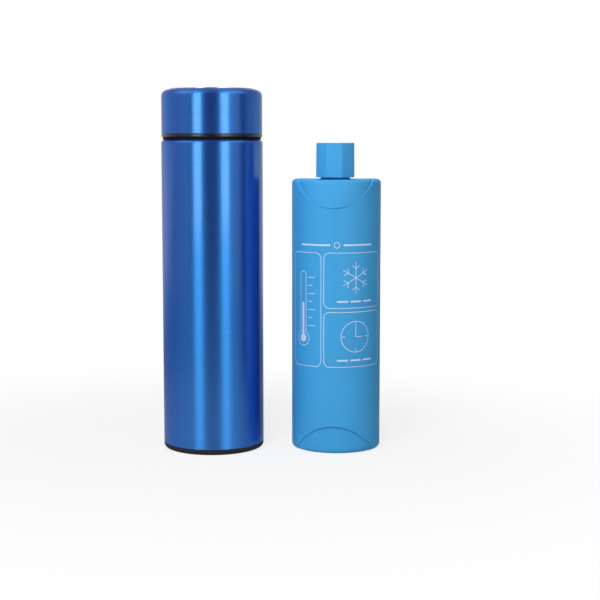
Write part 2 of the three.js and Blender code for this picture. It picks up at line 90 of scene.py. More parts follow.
class Slot(Enum):
    """Material slots of the record."""

    BLUE_COAT = "blue_coat"
    BARE_STEEL = "bare_steel"
    PLATED_STEEL = "plated_steel"
    COPPER_FOIL = "copper_foil"
    SEAL_METAL = "seal_metal"
    BLACK_RUBBER = "black_rubber"
    BLACK_PLASTIC = "black_plastic"
    SILICONE = "silicone"
    PALE_FOAM = "pale_foam"
    SMOKED_ACRYLIC = "smoked_acrylic"
    DISPLAY_GREY = "display_grey"
    BOARD_GREEN = "board_green"
    LEAD_JACKET = "lead_jacket"
    BOTTLE_PLASTIC = "bottle_plastic"
    GEL = "gel"


class LineRun(Enum):
    """Way that the fine lines of a worked metal run."""

    ROUND_THE_WALL = "round the wall"
    RINGS = "rings on a flat face"


class ThreadSide(Enum):
    """Side of its wall on which a thread's ridge stands."""

    OUTSIDE = 1
    INSIDE = -1


class BottleEnd(Enum):
    """End of the bottle's front, with the way from its middle."""

    TOP = 1
    BOTTOM = -1


class RoundedKind(Enum):
    """What a rounding takes off."""

    CORNERS = "VERTICES"
    EDGES = "EDGES"


class LampUse(Enum):
    """Surfaces that a lamp is for, by whether gloss mirrors it and whether it lights matt ones."""

    GLOSS = (True, False)
    MATT = (False, True)


class SocketKind(Enum):
    """Kinds of socket on a shader effect."""

    NUMBER = "NodeSocketFloat"
    VECTOR = "NodeSocketVector"


def paint(red: int, green: int, blue: int) -> Colour:
    """Colour as a screen shows it, for a shader.

    Args:
        red: Red from 0 to 255.
        green: Green from 0 to 255.
        blue: Blue from 0 to 255.

    Returns:
        The linear colour with full alpha.
    """
    shares = (channel / 255 for channel in (red, green, blue))
    return (*(s / 12.92 if s <= 0.04045 else ((s + 0.055) / 1.055) ** 2.4 for s in shares), 1.0)


def shaded(colour: Colour, share: float) -> Colour:
    """Colour with only a share of its light, or with more of it."""
    return (*(channel * share for channel in colour[:3]), 1.0)


def uneven(colour: Colour, change: float) -> tuple[Colour, Colour]:
    """Colour made darker and lighter by a share of its light."""
    return shaded(colour, 1 - change), shaded(colour, 1 + change)


class Wiring:
    """Nodes of one material, world or effect, and the links between them."""

    def __init__(self, tree: NodeTree) -> None:
        """Takes the tree that it adds to."""
        self.tree = tree

    def node(self, kind: str, *sources: Source, **settings: object) -> Node:
        """Adds a node.

        Args:
            kind: Blender's name of the node's type.
            sources: What its first inputs take, in order.
            settings: Properties to set on it.

        Returns:
            The new node.
        """
        made = self.tree.nodes.new(kind)
        for name, value in settings.items():
            setattr(made, name, value)
        for socket, source in zip(made.inputs, sources):
            self.put(socket, source)
        return made

    def put(self, socket: NodeSocket, source: Source) -> None:
        """Links a socket to another socket, or sets its value."""
        if isinstance(source, NodeSocket):
            self.tree.links.new(source, socket)
        else:
            socket.default_value = source

    def feed(self, node: Node, sources: dict[str, Source]) -> None:
        """Links or sets inputs of a node by name."""
        for name, source in sources.items():
            self.put(node.inputs[name], source)

    def math(self, operation: str, *sources: Source) -> NodeSocket:
        """Result of a sum of numbers."""
        return self.node("ShaderNodeMath", *sources, operation=operation).outputs["Value"]

    def vector(self, operation: str, *sources: Source, output: str = "Vector") -> NodeSocket:
        """Result of a sum of vectors: a vector, or a number with the output "Value"."""
        return self.node("ShaderNodeVectorMath", *sources, operation=operation).outputs[output]

    def scaled(self, vector: NodeSocket, share: Source) -> NodeSocket:
        """Vector times a number."""
        made = self.node("ShaderNodeVectorMath", vector, operation="SCALE")
        self.put(made.inputs["Scale"], share)
        return made.outputs["Vector"]

    def parts(self, vector: NodeSocket) -> tuple[NodeSocket, NodeSocket, NodeSocket]:
        """X, Y and Z of a vector."""
        return tuple(self.node("ShaderNodeSeparateXYZ", vector).outputs)

    def joined(self, *sources: Source) -> NodeSocket:
        """Vector of up to three numbers."""
        return self.node("ShaderNodeCombineXYZ", *sources).outputs["Vector"]

    def ramp(self, value: NodeSocket, start: Point, end: Point) -> NodeSocket:
        """Smooth change of a value.

        Args:
            value: Value that is read.
            start: Where the change starts, and what it puts out there.
            end: Where the change ends, and what it puts out there.

        Returns:
            The changed value's socket.
        """
        made = self.node("ShaderNodeMapRange", interpolation_type="SMOOTHSTEP")
        (from_min, to_min), (from_max, to_max) = start, end
        self.feed(made, {"Value": value, "From Min": from_min, "From Max": from_max})
        self.feed(made, {"To Min": to_min, "To Max": to_max})
        return made.outputs["Result"]

    def toned(self, noise: NodeSocket, dark: float, light: float) -> NodeSocket:
        """Value that follows a noise from its dark parts to its light ones."""
        return self.ramp(noise, (TONE_START, dark), (TONE_END, light))

    def rising(self, value: NodeSocket, reach: Point, low: float = 0.0) -> NodeSocket:
        """Share that rises to 1 over a reach of a value."""
        start, end = reach
        return self.ramp(value, (start, low), (end, 1.0))

    def mixed(self, share: NodeSocket, first: Source, second: Source) -> NodeSocket:
        """Colour between two.

        Args:
            share: Share of the second colour.
            first: Colour at 0.
            second: Colour at 1.

        Returns:
            The mixed colour's socket.
        """
        made = self.node("ShaderNodeMix", data_type="RGBA")
        for number, source in ((MIX_FACTOR, share), (MIX_FIRST, first), (MIX_SECOND, second)):
            self.put(made.inputs[number], source)
        return made.outputs[MIX_RESULT]

    def blended(self, share: NodeSocket, first: NodeSocket, second: NodeSocket) -> NodeSocket:
        """Shader between two, with that share of the second."""
        return self.node("ShaderNodeMixShader", share, first, second).outputs["Shader"]

    def bumped(self, height: NodeSocket, depth: float) -> NodeSocket:
        """Normal of a surface with relief of that depth in metres."""
        made = self.node("ShaderNodeBump")
        self.feed(made, {"Distance": depth, "Height": height})
        return made.outputs["Normal"]

    def coordinates(self) -> NodeSocket:
        """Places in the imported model's own frame."""
        return self.node("ShaderNodeTexCoord").outputs["Object"]


class Effect(ABC):
    """Shader effect that is one node group, placed in each material that uses it."""

    name: ClassVar[str]
    inputs: ClassVar[dict[str, SocketKind]]
    output: ClassVar[str]

    def tree(self) -> NodeTree:
        """Node group of the effect, made at its first use."""
        found = bpy.data.node_groups.get(self.name)
        if found:
            return found
        tree = bpy.data.node_groups.new(self.name, "ShaderNodeTree")
        for name, kind in self.inputs.items():
            tree.interface.new_socket(name, in_out="INPUT", socket_type=kind.value)
        tree.interface.new_socket(self.output, in_out="OUTPUT", socket_type=SocketKind.NUMBER.value)
        wiring = Wiring(tree)
        entry = wiring.node("NodeGroupInput")
        result = self.wire(wiring, {name: entry.outputs[name] for name in self.inputs})
        wiring.feed(wiring.node("NodeGroupOutput"), {self.output: result})
        return tree

    @abstractmethod
    def wire(self, wiring: Wiring, entry: dict[str, NodeSocket]) -> NodeSocket:
        """Fills the group.

        Args:
            wiring: Group's nodes.
            entry: Group's inputs by name.

        Returns:
            The socket that the group puts out.
        """

    def place(self, wiring: Wiring, **sources: Source) -> NodeSocket:
        """Places the effect in a material.

        Args:
            wiring: Nodes of the material.
            sources: What its inputs take, by name.

        Returns:
            The effect's output.
        """
        made = wiring.node("ShaderNodeGroup", node_tree=self.tree())
        wiring.feed(made, sources)
        return made.outputs[self.output]


class BrushedLines(Effect):
    """Fine lines that a brush or a lathe leaves, from 0 to 1 across them."""

    name = "brushed_lines"
    inputs = {
        "place": SocketKind.VECTOR,
        "across": SocketKind.NUMBER,
        "density": SocketKind.NUMBER,
        "drift": SocketKind.NUMBER,
    }
    output = "line"

    def wire(self, wiring: Wiring, entry: dict[str, NodeSocket]) -> NodeSocket:
        """Noise that is stretched along the lines."""
        x, y, _ = wiring.parts(wiring.scaled(entry["place"], entry["drift"]))
        across = wiring.math("MULTIPLY", entry["across"], entry["density"])
        noise = wiring.node("ShaderNodeTexNoise")
        wiring.feed(noise, {"Vector": wiring.joined(x, y, across), "Scale": 1.0})
        wiring.feed(noise, {"Detail": NOISE_DETAIL, "Roughness": 0.6})
        return noise.outputs["Fac"]


class MouldedGrain(Effect):
    """Grain or cloud of a moulded surface, from 0 to 1."""

    name = "moulded_grain"
    inputs = {"place": SocketKind.VECTOR, "density": SocketKind.NUMBER}
    output = "grain"

    def wire(self, wiring: Wiring, entry: dict[str, NodeSocket]) -> NodeSocket:
        """Even noise of the given density."""
        noise = wiring.node("ShaderNodeTexNoise")
        sources = {"Vector": entry["place"], "Scale": entry["density"], "Detail": NOISE_DETAIL}
        wiring.feed(noise, sources)
        return noise.outputs["Fac"]


class BoxDistance(Effect):
    """Distance from the edge of a flat box with round corners, below 0 inside it."""

    name = "box_distance"
    inputs = {
        "place": SocketKind.VECTOR,
        "centre": SocketKind.VECTOR,
        "half": SocketKind.VECTOR,
        "corner": SocketKind.NUMBER,
    }
    output = "distance"

    def wire(self, wiring: Wiring, entry: dict[str, NodeSocket]) -> NodeSocket:
        """Distance from the inner box less the corner's radius."""
        corner = wiring.joined(entry["corner"], entry["corner"])
        offset = wiring.vector("ABSOLUTE", wiring.vector("SUBTRACT", entry["place"], entry["centre"]))
        beyond = wiring.vector("SUBTRACT", offset, wiring.vector("SUBTRACT", entry["half"], corner))
        outside = wiring.vector("MAXIMUM", beyond, (0.0, 0.0, 0.0))
        x, y, _ = wiring.parts(beyond)
        inside = wiring.math("MINIMUM", wiring.math("MAXIMUM", x, y), 0.0)
        distance = wiring.math("ADD", wiring.vector("LENGTH", outside, output="Value"), inside)
        return wiring.math("SUBTRACT", distance, entry["corner"])


class StrokeDistance(Effect):
    """Distance from the edge of a straight stroke with round ends, below 0 inside it."""

    name = "stroke_distance"
    inputs = {
        "place": SocketKind.VECTOR,
        "start": SocketKind.VECTOR,
        "end": SocketKind.VECTOR,
        "width": SocketKind.NUMBER,
    }
    output = "distance"

    def wire(self, wiring: Wiring, entry: dict[str, NodeSocket]) -> NodeSocket:
        """Distance from the nearest point of the stroke's middle line less half its width."""
        offset = wiring.vector("SUBTRACT", entry["place"], entry["start"])
        run = wiring.vector("SUBTRACT", entry["end"], entry["start"])
        along = wiring.vector("DOT_PRODUCT", offset, run, output="Value")
        length = wiring.vector("DOT_PRODUCT", run, run, output="Value")
        share = wiring.node("ShaderNodeMath", along, length, operation="DIVIDE", use_clamp=True)
        nearest = wiring.scaled(run, share.outputs["Value"])
        gap = wiring.vector("DISTANCE", offset, nearest, output="Value")
        return wiring.math("SUBTRACT", gap, wiring.math("MULTIPLY", entry["width"], 0.5))


BRUSHED_LINES = BrushedLines()
MOULDED_GRAIN = MouldedGrain()
BOX_DISTANCE = BoxDistance()
STROKE_DISTANCE = StrokeDistance()


def emptied(made: Material | World) -> Wiring:
    """Wiring of a new material or world, with no nodes yet."""
    made.use_nodes = True
    made.node_tree.nodes.clear()
    return Wiring(made.node_tree)


@dataclass(frozen=True)
class Finish(ABC):
    """Finish of a surface, whose material is made at its first use."""

    made: ClassVar[dict[str, Material]] = {}
    name: str
    slot: Slot
    colour: Colour

    def material(self) -> Material:
        """Material of the finish."""
        if self.name not in Finish.made:
            material = bpy.data.materials.new(self.name)
            wiring = emptied(material)
            shader = wiring.node("ShaderNodeBsdfPrincipled")
            wiring.feed(wiring.node("ShaderNodeOutputMaterial"), {"Surface": shader.outputs["BSDF"]})
            self.wire(wiring, shader)
            Finish.made[self.name] = material
        return Finish.made[self.name]

    @abstractmethod
    def wire(self, wiring: Wiring, shader: Node) -> None:
        """Sets the shader.

        Args:
            wiring: Nodes of the material.
            shader: Its Principled shader.
        """


@dataclass(frozen=True)
class BrushedCoat(Finish):
    """Clear blue lacquer over metal that is brushed round the wall, with a faint haze of its own."""

    edge_tint: Colour
    line_density: float = 3200.0
    band_density: float = 420.0
    drift: float = 22.0
    line_depth: float = 0.000002
    line_share: float = 0.6
    unevenness: float = 0.05
    roughness: Point = (0.42, 0.38)
    brushing: float = 0.9
    brushing_turn: float = 0.25
    lacquer: float = 0.42
    lacquer_roughness: float = 0.12
    haze: float = 0.18
    haze_roughness: float = 1.0
    haze_tint: Colour = (0.09, 0.0, 1.0, 1.0)

    def wire(self, wiring: Wiring, shader: Node) -> None:
        """Lines tint the metal, change its gloss and stand in low relief under the lacquer."""
        place = wiring.coordinates()
        along = {"place": place, "across": wiring.parts(place)[2], "drift": self.drift}
        lines = BRUSHED_LINES.place(wiring, density=self.line_density, **along)
        bands = BRUSHED_LINES.place(wiring, density=self.band_density, **along)
        faint_bands = wiring.math("MULTIPLY", bands, 1 - self.line_share)
        tone = wiring.math("MULTIPLY_ADD", lines, self.line_share, faint_bands)
        tangent = wiring.node("ShaderNodeTangent", direction_type="RADIAL", axis="Z")
        shares = wiring.toned(tone, 0.0, 1.0)
        sources = {
            "Base Color": wiring.mixed(shares, *uneven(self.colour, self.unevenness)),
            "Roughness": wiring.toned(tone, *self.roughness),
            "Normal": wiring.bumped(lines, self.line_depth),
            "Tangent": tangent.outputs["Tangent"],
            "Metallic": 1.0,
            "Specular Tint": self.edge_tint,
            "Anisotropic": self.brushing,
            "Anisotropic Rotation": self.brushing_turn,
            "Coat Weight": self.lacquer,
            "Coat Roughness": self.lacquer_roughness,
            "Sheen Weight": self.haze,
            "Sheen Roughness": self.haze_roughness,
            "Sheen Tint": self.haze_tint,
        }
        wiring.feed(shader, sources)


@dataclass(frozen=True)
class WorkedMetal(Finish):
    """Bare or plated metal with the lines of its working."""

    roughness: float
    run: LineRun = LineRun.ROUND_THE_WALL
    line_density: float = 3000.0
    drift: float = 20.0
    line_depth: float = 0.000004
    tint_shares: Point = (0.86, 1.1)
    roughness_change: Point = (0.06, -0.04)

    def wire(self, wiring: Wiring, shader: Node) -> None:
        """Lines change the metal's tint, gloss and relief."""
        place = wiring.coordinates()
        across = wiring.parts(place)[2]
        if self.run is LineRun.RINGS:
            flat = wiring.vector("MULTIPLY", place, (1.0, 1.0, 0.0))
            across = wiring.vector("LENGTH", flat, output="Value")
        lines = BRUSHED_LINES.place(
            wiring, place=place, across=across, density=self.line_density, drift=self.drift
        )
        tints = (shaded(self.colour, share) for share in self.tint_shares)
        gloss = (self.roughness + change for change in self.roughness_change)
        sources = {
            "Base Color": wiring.mixed(lines, *tints),
            "Roughness": wiring.toned(lines, *gloss),
            "Normal": wiring.bumped(lines, self.line_depth),
            "Metallic": 1.0,
        }
        wiring.feed(shader, sources)


@dataclass(frozen=True)
class Moulded(Finish):
    """Moulded plastic, rubber or foam with its grain."""

    roughness: float
    specular: float = 0.5
    grain_density: float = 2200.0
    grain_depth: float = 0.00002
    cloud_density: float = 45.0
    unevenness: float = 0.06
    roughness_change: float = 0.04

    def wire(self, wiring: Wiring, shader: Node) -> None:
        """Grain in relief, with a faint cloud in the colour."""
        self.mould(wiring, shader, wiring.coordinates())

    def mould(self, wiring: Wiring, shader: Node, place: NodeSocket) -> NodeSocket:
        """Wires the grain and the cloud.

        Args:
            wiring: Nodes of the material.
            shader: Its Principled shader.
            place: Place on the piece.

        Returns:
            The clouded colour, which is on the shader's base colour.
        """
        grain = MOULDED_GRAIN.place(wiring, place=place, density=self.grain_density)
        cloud = MOULDED_GRAIN.place(wiring, place=place, density=self.cloud_density)
        colour = wiring.mixed(cloud, *uneven(self.colour, self.unevenness))
        gloss = (self.roughness - self.roughness_change, self.roughness + self.roughness_change)
        sources = {
            "Base Color": colour,
            "Roughness": wiring.toned(grain, *gloss),
            "Normal": wiring.bumped(grain, self.grain_depth),
            "Specular IOR Level": self.specular,
        }
        wiring.feed(shader, sources)
        return colour


@dataclass(frozen=True)
class SmokedWindow(Finish):
    """Black gloss acrylic through which the unlit display shows faintly."""

    display_colour: Colour
    display_half: Point = (0.013, 0.007)
    display_corner: float = 0.0008
    edge_blur: float = 0.0002
    dust_density: float = 900.0
    clean_gloss: Point = (0.5, 0.05)
    dusty_gloss: Point = (0.8, 0.14)

    def wire(self, wiring: Wiring, shader: Node) -> None:
        """Display's faint rectangle under an even gloss that fine dust breaks a little."""
        place = wiring.coordinates()
        flat = wiring.vector("MULTIPLY", place, (1.0, 1.0, 0.0))
        distance = BOX_DISTANCE.place(
            wiring, place=flat, half=(*self.display_half, 0.0), corner=self.display_corner
        )
        shown = wiring.ramp(distance, (-self.edge_blur, 1.0), (self.edge_blur, 0.0))
        dust = MOULDED_GRAIN.place(wiring, place=place, density=self.dust_density)
        sources = {
            "Base Color": wiring.mixed(shown, self.colour, self.display_colour),
            "Roughness": wiring.ramp(dust, self.clean_gloss, self.dusty_gloss),
        }
        wiring.feed(shader, sources)


@dataclass(frozen=True)
class Print:
    """Plain picture print on the bottle's front: a scale, a snow crystal and a clock in frames.

    Places are along the front from the print's middle, and above the table.
    """

    middle: float = 0.0024
    line: float = 0.0004
    frame_corner: float = 0.004
    scale_frame: tuple[Point, Point] = ((-0.0235, 0.0995), (0.0125, 0.039))
    snow_frame: tuple[Point, Point] = ((0.0135, 0.1197), (0.0225, 0.0188))
    clock_frame: tuple[Point, Point] = ((0.0135, 0.0793), (0.0225, 0.0188))
    tube_half: Point = (0.0026, 0.021)
    tube_centre: Point = (-0.0255, 0.1045)
    bulb_centre: Point = (-0.0255, 0.0795)
    bulb_radius: float = 0.0052
    mercury_width: float = 0.0018
    mercury_height: float = 0.024
    tick_start: float = -0.0207
    tick_lengths: Point = (0.0052, 0.003)
    tick_count: int = 7
    tick_step: float = 0.0055
    tick_bottom: float = 0.0885
    snow_centre: Point = (0.0135, 0.1215)
    snow_arms: int = 6
    snow_radius: float = 0.0105
    twig_place: float = 0.0062
    twig_length: float = 0.0034
    twig_turn: float = math.radians(50)
    clock_centre: Point = (0.0135, 0.0812)
    clock_radius: float = 0.0105
    clock_marks: int = 4
    clock_tick: float = 0.0018
    hand_lengths: Point = (0.0068, 0.005)
    dash_drop: float = 0.0045
    dash_half: float = 0.0034
    dash_step: float = 0.0095
    dash_width: float = 0.0011
    heading_height: float = 0.1438
    heading_reach: Point = (0.005, 0.0265)
    heading_radius: float = 0.0019

    def ink(self, wiring: Wiring, place: NodeSocket) -> NodeSocket:
        """Share of ink on the surface.

        Args:
            wiring: Nodes of the material.
            place: Place along the front and above the table.

        Returns:
            The ink's share, from 0 to 1.
        """
        shapes = [*self.frames(wiring, place), self.scale(wiring, place)]
        strokes = (*self.scale_strokes(), *self.snow(), *self.clock(), *self.dashes(), *self.heading())
        for start, end, width in strokes:
            shapes.append(
                STROKE_DISTANCE.place(wiring, place=place, start=(*start, 0), end=(*end, 0), width=width)
            )
        nearest = shapes[0]
        for shape in shapes[1:]:
            nearest = wiring.math("MINIMUM", nearest, shape)
        blur = self.line / 4
        return wiring.ramp(nearest, (-blur, 1.0), (blur, 0.0))

    def box(
        self, wiring: Wiring, place: NodeSocket, centre: Point, half: Point, corner: float
    ) -> NodeSocket:
        """Distance from a box of the print."""
        return BOX_DISTANCE.place(
            wiring, place=place, centre=(*centre, 0), half=(*half, 0), corner=corner
        )

    def outlined(self, wiring: Wiring, distance: NodeSocket) -> NodeSocket:
        """Distance from a line along a shape's edge."""
        return wiring.math("SUBTRACT", wiring.math("ABSOLUTE", distance), self.line / 2)

    def frames(self, wiring: Wiring, place: NodeSocket) -> list[NodeSocket]:
        """Frames, and the rings of the clock and the heading."""
        frames = (self.scale_frame, self.snow_frame, self.clock_frame)
        rings = (
            (self.clock_centre, self.clock_radius),
            ((0.0, self.heading_height), self.heading_radius),
        )
        boxes = [(*sizes, self.frame_corner) for sizes in frames]
        boxes += [(centre, (radius, radius), radius) for centre, radius in rings]
        return [self.outlined(wiring, self.box(wiring, place, *sizes)) for sizes in boxes]

    def scale(self, wiring: Wiring, place: NodeSocket) -> NodeSocket:
        """Outline of the scale's tube and bulb in one."""
        tube = self.box(wiring, place, self.tube_centre, self.tube_half, self.tube_half[0])
        reach = (self.bulb_radius, self.bulb_radius)
        bulb = self.box(wiring, place, self.bulb_centre, reach, self.bulb_radius)
        return self.outlined(wiring, wiring.math("MINIMUM", tube, bulb))

    def scale_strokes(self) -> list[Stroke]:
        """Mercury and marks of the scale."""
        x, y = self.bulb_centre
        strokes = [
            ((x, y), (x, y + self.mercury_height), self.mercury_width),
            ((x, y), (x, y + self.line), self.bulb_radius),
        ]
        for tick in range(self.tick_count):
            height = self.tick_bottom + tick * self.tick_step
            end = self.tick_start + self.tick_lengths[tick % 2]
            strokes.append(((self.tick_start, height), (end, height), self.line))
        return strokes

    def snow(self) -> list[Stroke]:
        """Arms of the snow crystal with two twigs each."""
        centre = Vector(self.snow_centre)
        strokes = []
        for arm in range(self.snow_arms):
            turn = arm * math.tau / self.snow_arms
            way = Vector((math.sin(turn), math.cos(turn)))
            fork = centre + way * self.twig_place
            strokes.append((tuple(centre), tuple(centre + way * self.snow_radius), self.line))
            for twig_turn in (turn - self.twig_turn, turn + self.twig_turn):
                twig = fork + Vector((math.sin(twig_turn), math.cos(twig_turn))) * self.twig_length
                strokes.append((tuple(fork), tuple(twig), self.line))
        return strokes

    def clock(self) -> list[Stroke]:
        """Marks of the clock and its hands."""
        centre = Vector(self.clock_centre)
        strokes = []
        for mark in range(self.clock_marks):
            turn = mark * math.tau / self.clock_marks
            way = Vector((math.sin(turn), math.cos(turn)))
            outer = centre + way * (self.clock_radius - self.clock_tick / 2)
            strokes.append((tuple(outer), tuple(outer - way * self.clock_tick), self.line))
        for way, length in zip(((0.0, 1.0), (1.0, 0.0)), self.hand_lengths):
            strokes.append((tuple(centre), tuple(centre + Vector(way) * length), self.line))
        return strokes

    def dashes(self) -> list[Stroke]:
        """Three dashes in the lower part of each small frame."""
        strokes = []
        for (x, y), (_, half_height) in (self.snow_frame, self.clock_frame):
            height = y - half_height + self.dash_drop
            for step in (-1, 0, 1):
                middle = x + step * self.dash_step
                ends = ((middle - self.dash_half, height), (middle + self.dash_half, height))
                strokes.append((*ends, self.dash_width))
        return strokes

    def heading(self) -> list[Stroke]:
        """Line on each side of the heading's ring."""
        near, far = self.heading_reach
        height = self.heading_height
        return [((side * near, height), (side * far, height), self.dash_width) for side in (-1, 1)]


@dataclass(frozen=True)
class PrintedPlastic(Moulded):
    """Moulded plastic of the bottle with the white print on its front."""

    ink_colour: Colour = WHITE
    ink_cover: float = 0.6
    picture: Print = Print()
    axis_x: float = 0.086
    turn: float = math.radians(-5.5)
    front_radius: float = 0.03083

    def wire(self, wiring: Wiring, shader: Node) -> None:
        """Moulded finish, inked where the print is."""
        place = wiring.coordinates()
        plain = self.mould(wiring, shader, place)
        centred = wiring.node("ShaderNodeMapping", vector_type="TEXTURE")
        middle, turn = (self.axis_x, 0.0, 0.0), (0.0, 0.0, self.turn)
        wiring.feed(centred, {"Vector": place, "Location": middle, "Rotation": turn})
        x, y, height = wiring.parts(centred.outputs["Vector"])
        angle = wiring.math("ARCTAN2", x, wiring.math("MULTIPLY", y, -1.0))
        along = wiring.math("MULTIPLY_ADD", angle, self.front_radius, -self.picture.middle)
        ink = self.picture.ink(wiring, wiring.joined(along, height))
        cover = wiring.math("MULTIPLY", ink, self.ink_cover)
        wiring.feed(shader, {"Base Color": wiring.mixed(cover, plain, self.ink_colour)})


BLUE_COAT = BrushedCoat("blue_lacquer", Slot.BLUE_COAT, paint(47, 128, 191), paint(190, 190, 190))
BARE_STEEL = WorkedMetal("turned_steel", Slot.BARE_STEEL, paint(196, 199, 203), 0.3)
PLATED_STEEL = WorkedMetal("plated_rings", Slot.PLATED_STEEL, paint(208, 209, 212), 0.26, LineRun.RINGS)
COPPER_FOIL = WorkedMetal("copper_sheet", Slot.COPPER_FOIL, paint(192, 122, 82), 0.3)
SEAL_METAL = WorkedMetal("dull_metal", Slot.SEAL_METAL, paint(143, 144, 146), 0.5, LineRun.RINGS)
BLACK_RUBBER = Moulded("foot_rubber", Slot.BLACK_RUBBER, paint(46, 45, 50), 0.7, 0.12, 1600.0, 0.00005)
BLACK_PLASTIC = Moulded("black_moulding", Slot.BLACK_PLASTIC, paint(15, 15, 19), 0.28)
# Painted shade: the cup's skirt is darker than its black plastic and tinted blue, standing in for the
# shade under the ring and a painted reflection of the case's blue shoulder.
SHADE_PAINTED_BLACK = Moulded("shade_painted_moulding", Slot.BLACK_PLASTIC, paint(10, 22, 38), 0.75, 0.1)
SILICONE = Moulded("seal_silicone", Slot.SILICONE, paint(230, 231, 228), 0.55)
PALE_FOAM = Moulded("closed_cell_foam", Slot.PALE_FOAM, paint(233, 227, 207), 0.9, 0.2, 900.0, 0.0002)
DISPLAY_GREY = Moulded("display_case", Slot.DISPLAY_GREY, paint(58, 59, 64), 0.4)
BOARD_GREEN = Moulded("solder_resist", Slot.BOARD_GREEN, paint(29, 90, 58), 0.4, 0.5, 700.0)
LEAD_JACKET = Moulded("lead_sleeve", Slot.LEAD_JACKET, paint(42, 42, 45), 0.55)
GEL = Moulded("cold_gel", Slot.GEL, paint(143, 208, 242), 0.3, 0.5, 300.0)
WINDOW = SmokedWindow("smoked_window", Slot.SMOKED_ACRYLIC, paint(11, 11, 14), paint(34, 37, 38))
BOTTLE_PLASTIC = Moulded("bottle_moulding", Slot.BOTTLE_PLASTIC, paint(66, 162, 221), 0.5, 0.15)
BOTTLE_PRINT = PrintedPlastic("printed_moulding", Slot.BOTTLE_PLASTIC, BOTTLE_PLASTIC.colour, 0.5, 0.15)


def added(name: str, data: ID) -> Object:
    """Object of that data, in the scene."""
    made = bpy.data.objects.new(name, data)
    bpy.context.scene.collection.objects.link(made)
    return made


def solid(name: str, mesh: BMesh, material: Material) -> Object:
    """Makes an object of a finished mesh.

    Args:
        name: Object's name.
        mesh: Its mesh, in place, which is used up.
        material: Its one material.

    Returns:
        The object, in the scene.
    """
    data = bpy.data.meshes.new(name)
    mesh.to_mesh(data)
    mesh.free()
    data.materials.append(material)
    return added(name, data)


def welded(mesh: BMesh) -> BMesh:
    """Mesh with its doubles merged and its faces turned outwards."""
    bmesh.ops.remove_doubles(mesh, verts=mesh.verts[:], dist=WELD)
    bmesh.ops.recalc_face_normals(mesh, faces=mesh.faces[:])
    return mesh


def picked(parts: Sequence[MeshPart], kind: type[MeshPart]) -> list[MeshPart]:
    """Vertices, edges or faces among the parts that an operator made."""
    return [part for part in parts if isinstance(part, kind)]


def lifted(mesh: BMesh, parts: Sequence[MeshPart], height: float) -> list[BMVert]:
    """Lifts the vertices among new parts.

    Args:
        mesh: Mesh that has them.
        parts: What an extrusion made.
        height: Height to lift by.

    Returns:
        The lifted vertices.
    """
    verts = picked(parts, BMVert)
    bmesh.ops.translate(mesh, vec=UP * height, verts=verts)
    return verts


def rounded(
    mesh: BMesh, parts: Sequence[MeshPart], size: float, steps: int, kind: RoundedKind = RoundedKind.EDGES
) -> list[BMVert]:
    """Rounds corners or edges.

    Args:
        mesh: Mesh that has them.
        parts: Corners or edges to round.
        size: Distance that the rounding takes off.
        steps: Faces across it.
        kind: Which of the two the parts are.

    Returns:
        The vertices of the roundings.
    """
    made = bmesh.ops.bevel(
        mesh,
        geom=parts,
        offset=size,
        offset_type="OFFSET",
        segments=steps,
        profile=0.5,
        affect=kind.value,
        material=-1,
    )
    return made["verts"]


@dataclass(frozen=True)
class Corner:
    """Corner of a turned section, with the radius of its rounding.

    A rounding is flattened by the share of its height that is left.
    """

    radius: float
    height: float
    rounding: float = 0.0
    flattened: float = 1.0

    def point(self) -> Vector:
        """Place of the corner in the plane that is turned."""
        return Vector((self.radius, 0, self.height))


class Turned:
    """Piece that is turned about an upright axis from the corners of its section."""

    def __init__(self, *corners: Corner, steps: int = WIDE_STEPS) -> None:
        """Takes the corners, from axis to axis or round a closed section, and the steps of a turn."""
        self.corners = corners
        self.steps = steps

    def build(self) -> BMesh:
        """Draws the section, rounds its corners and spins it.

        Returns:
            The closed mesh.
        """
        mesh = bmesh.new()
        for corner, vert in zip(self.corners, self.draw(mesh)):
            if corner.rounding:
                self.round_off(mesh, vert, corner)
        bmesh.ops.spin(
            mesh,
            geom=mesh.verts[:] + mesh.edges[:],
            cent=(0, 0, 0),
            axis=UP,
            angle=math.tau,
            steps=self.steps,
            use_merge=True,
        )
        return welded(mesh)

    def draw(self, mesh: BMesh) -> list[BMVert]:
        """Draws the section as a wire.

        Args:
            mesh: Mesh to draw in.

        Returns:
            The vertices at the corners.
        """
        marks = [(corner, mesh.verts.new(corner.point())) for corner in self.corners]
        closing = marks[:1] if self.corners[0].radius > 0 else []
        for (start, first), (end, last) in zip(marks, marks[1:] + closing):
            chain = [first, *self.guards(mesh, start, end), last]
            for pair in zip(chain, chain[1:]):
                mesh.edges.new(pair)
        return [vert for _, vert in marks]

    def guards(self, mesh: BMesh, start: Corner, end: Corner) -> list[BMVert]:
        """Vertices just beyond the roundings at both ends of a side.

        Args:
            mesh: Mesh to draw in.
            start: Side's first corner.
            end: Its second corner.

        Returns:
            The new vertices, in order.
        """
        way = (end.point() - start.point()).normalized()
        places = []
        if start.rounding:
            places.append(start.point() + way * (start.rounding + GUARD))
        if end.rounding:
            places.append(end.point() - way * (end.rounding + GUARD))
        return [mesh.verts.new(place) for place in places]

    def round_off(self, mesh: BMesh, vert: BMVert, corner: Corner) -> None:
        """Rounds one corner of the wire."""
        verts = rounded(mesh, [vert], corner.rounding, ROUNDING_STEPS, RoundedKind.CORNERS)
        level = Matrix.Translation((0, 0, -corner.height))
        bmesh.ops.scale(mesh, vec=(1, 1, corner.flattened), space=level, verts=verts)


@dataclass(frozen=True)
class ThreadForm:
    """Pitch and ridge of a pair of threads that fit each other."""

    pitch: float
    depth: float
    foot: float
    crest: float


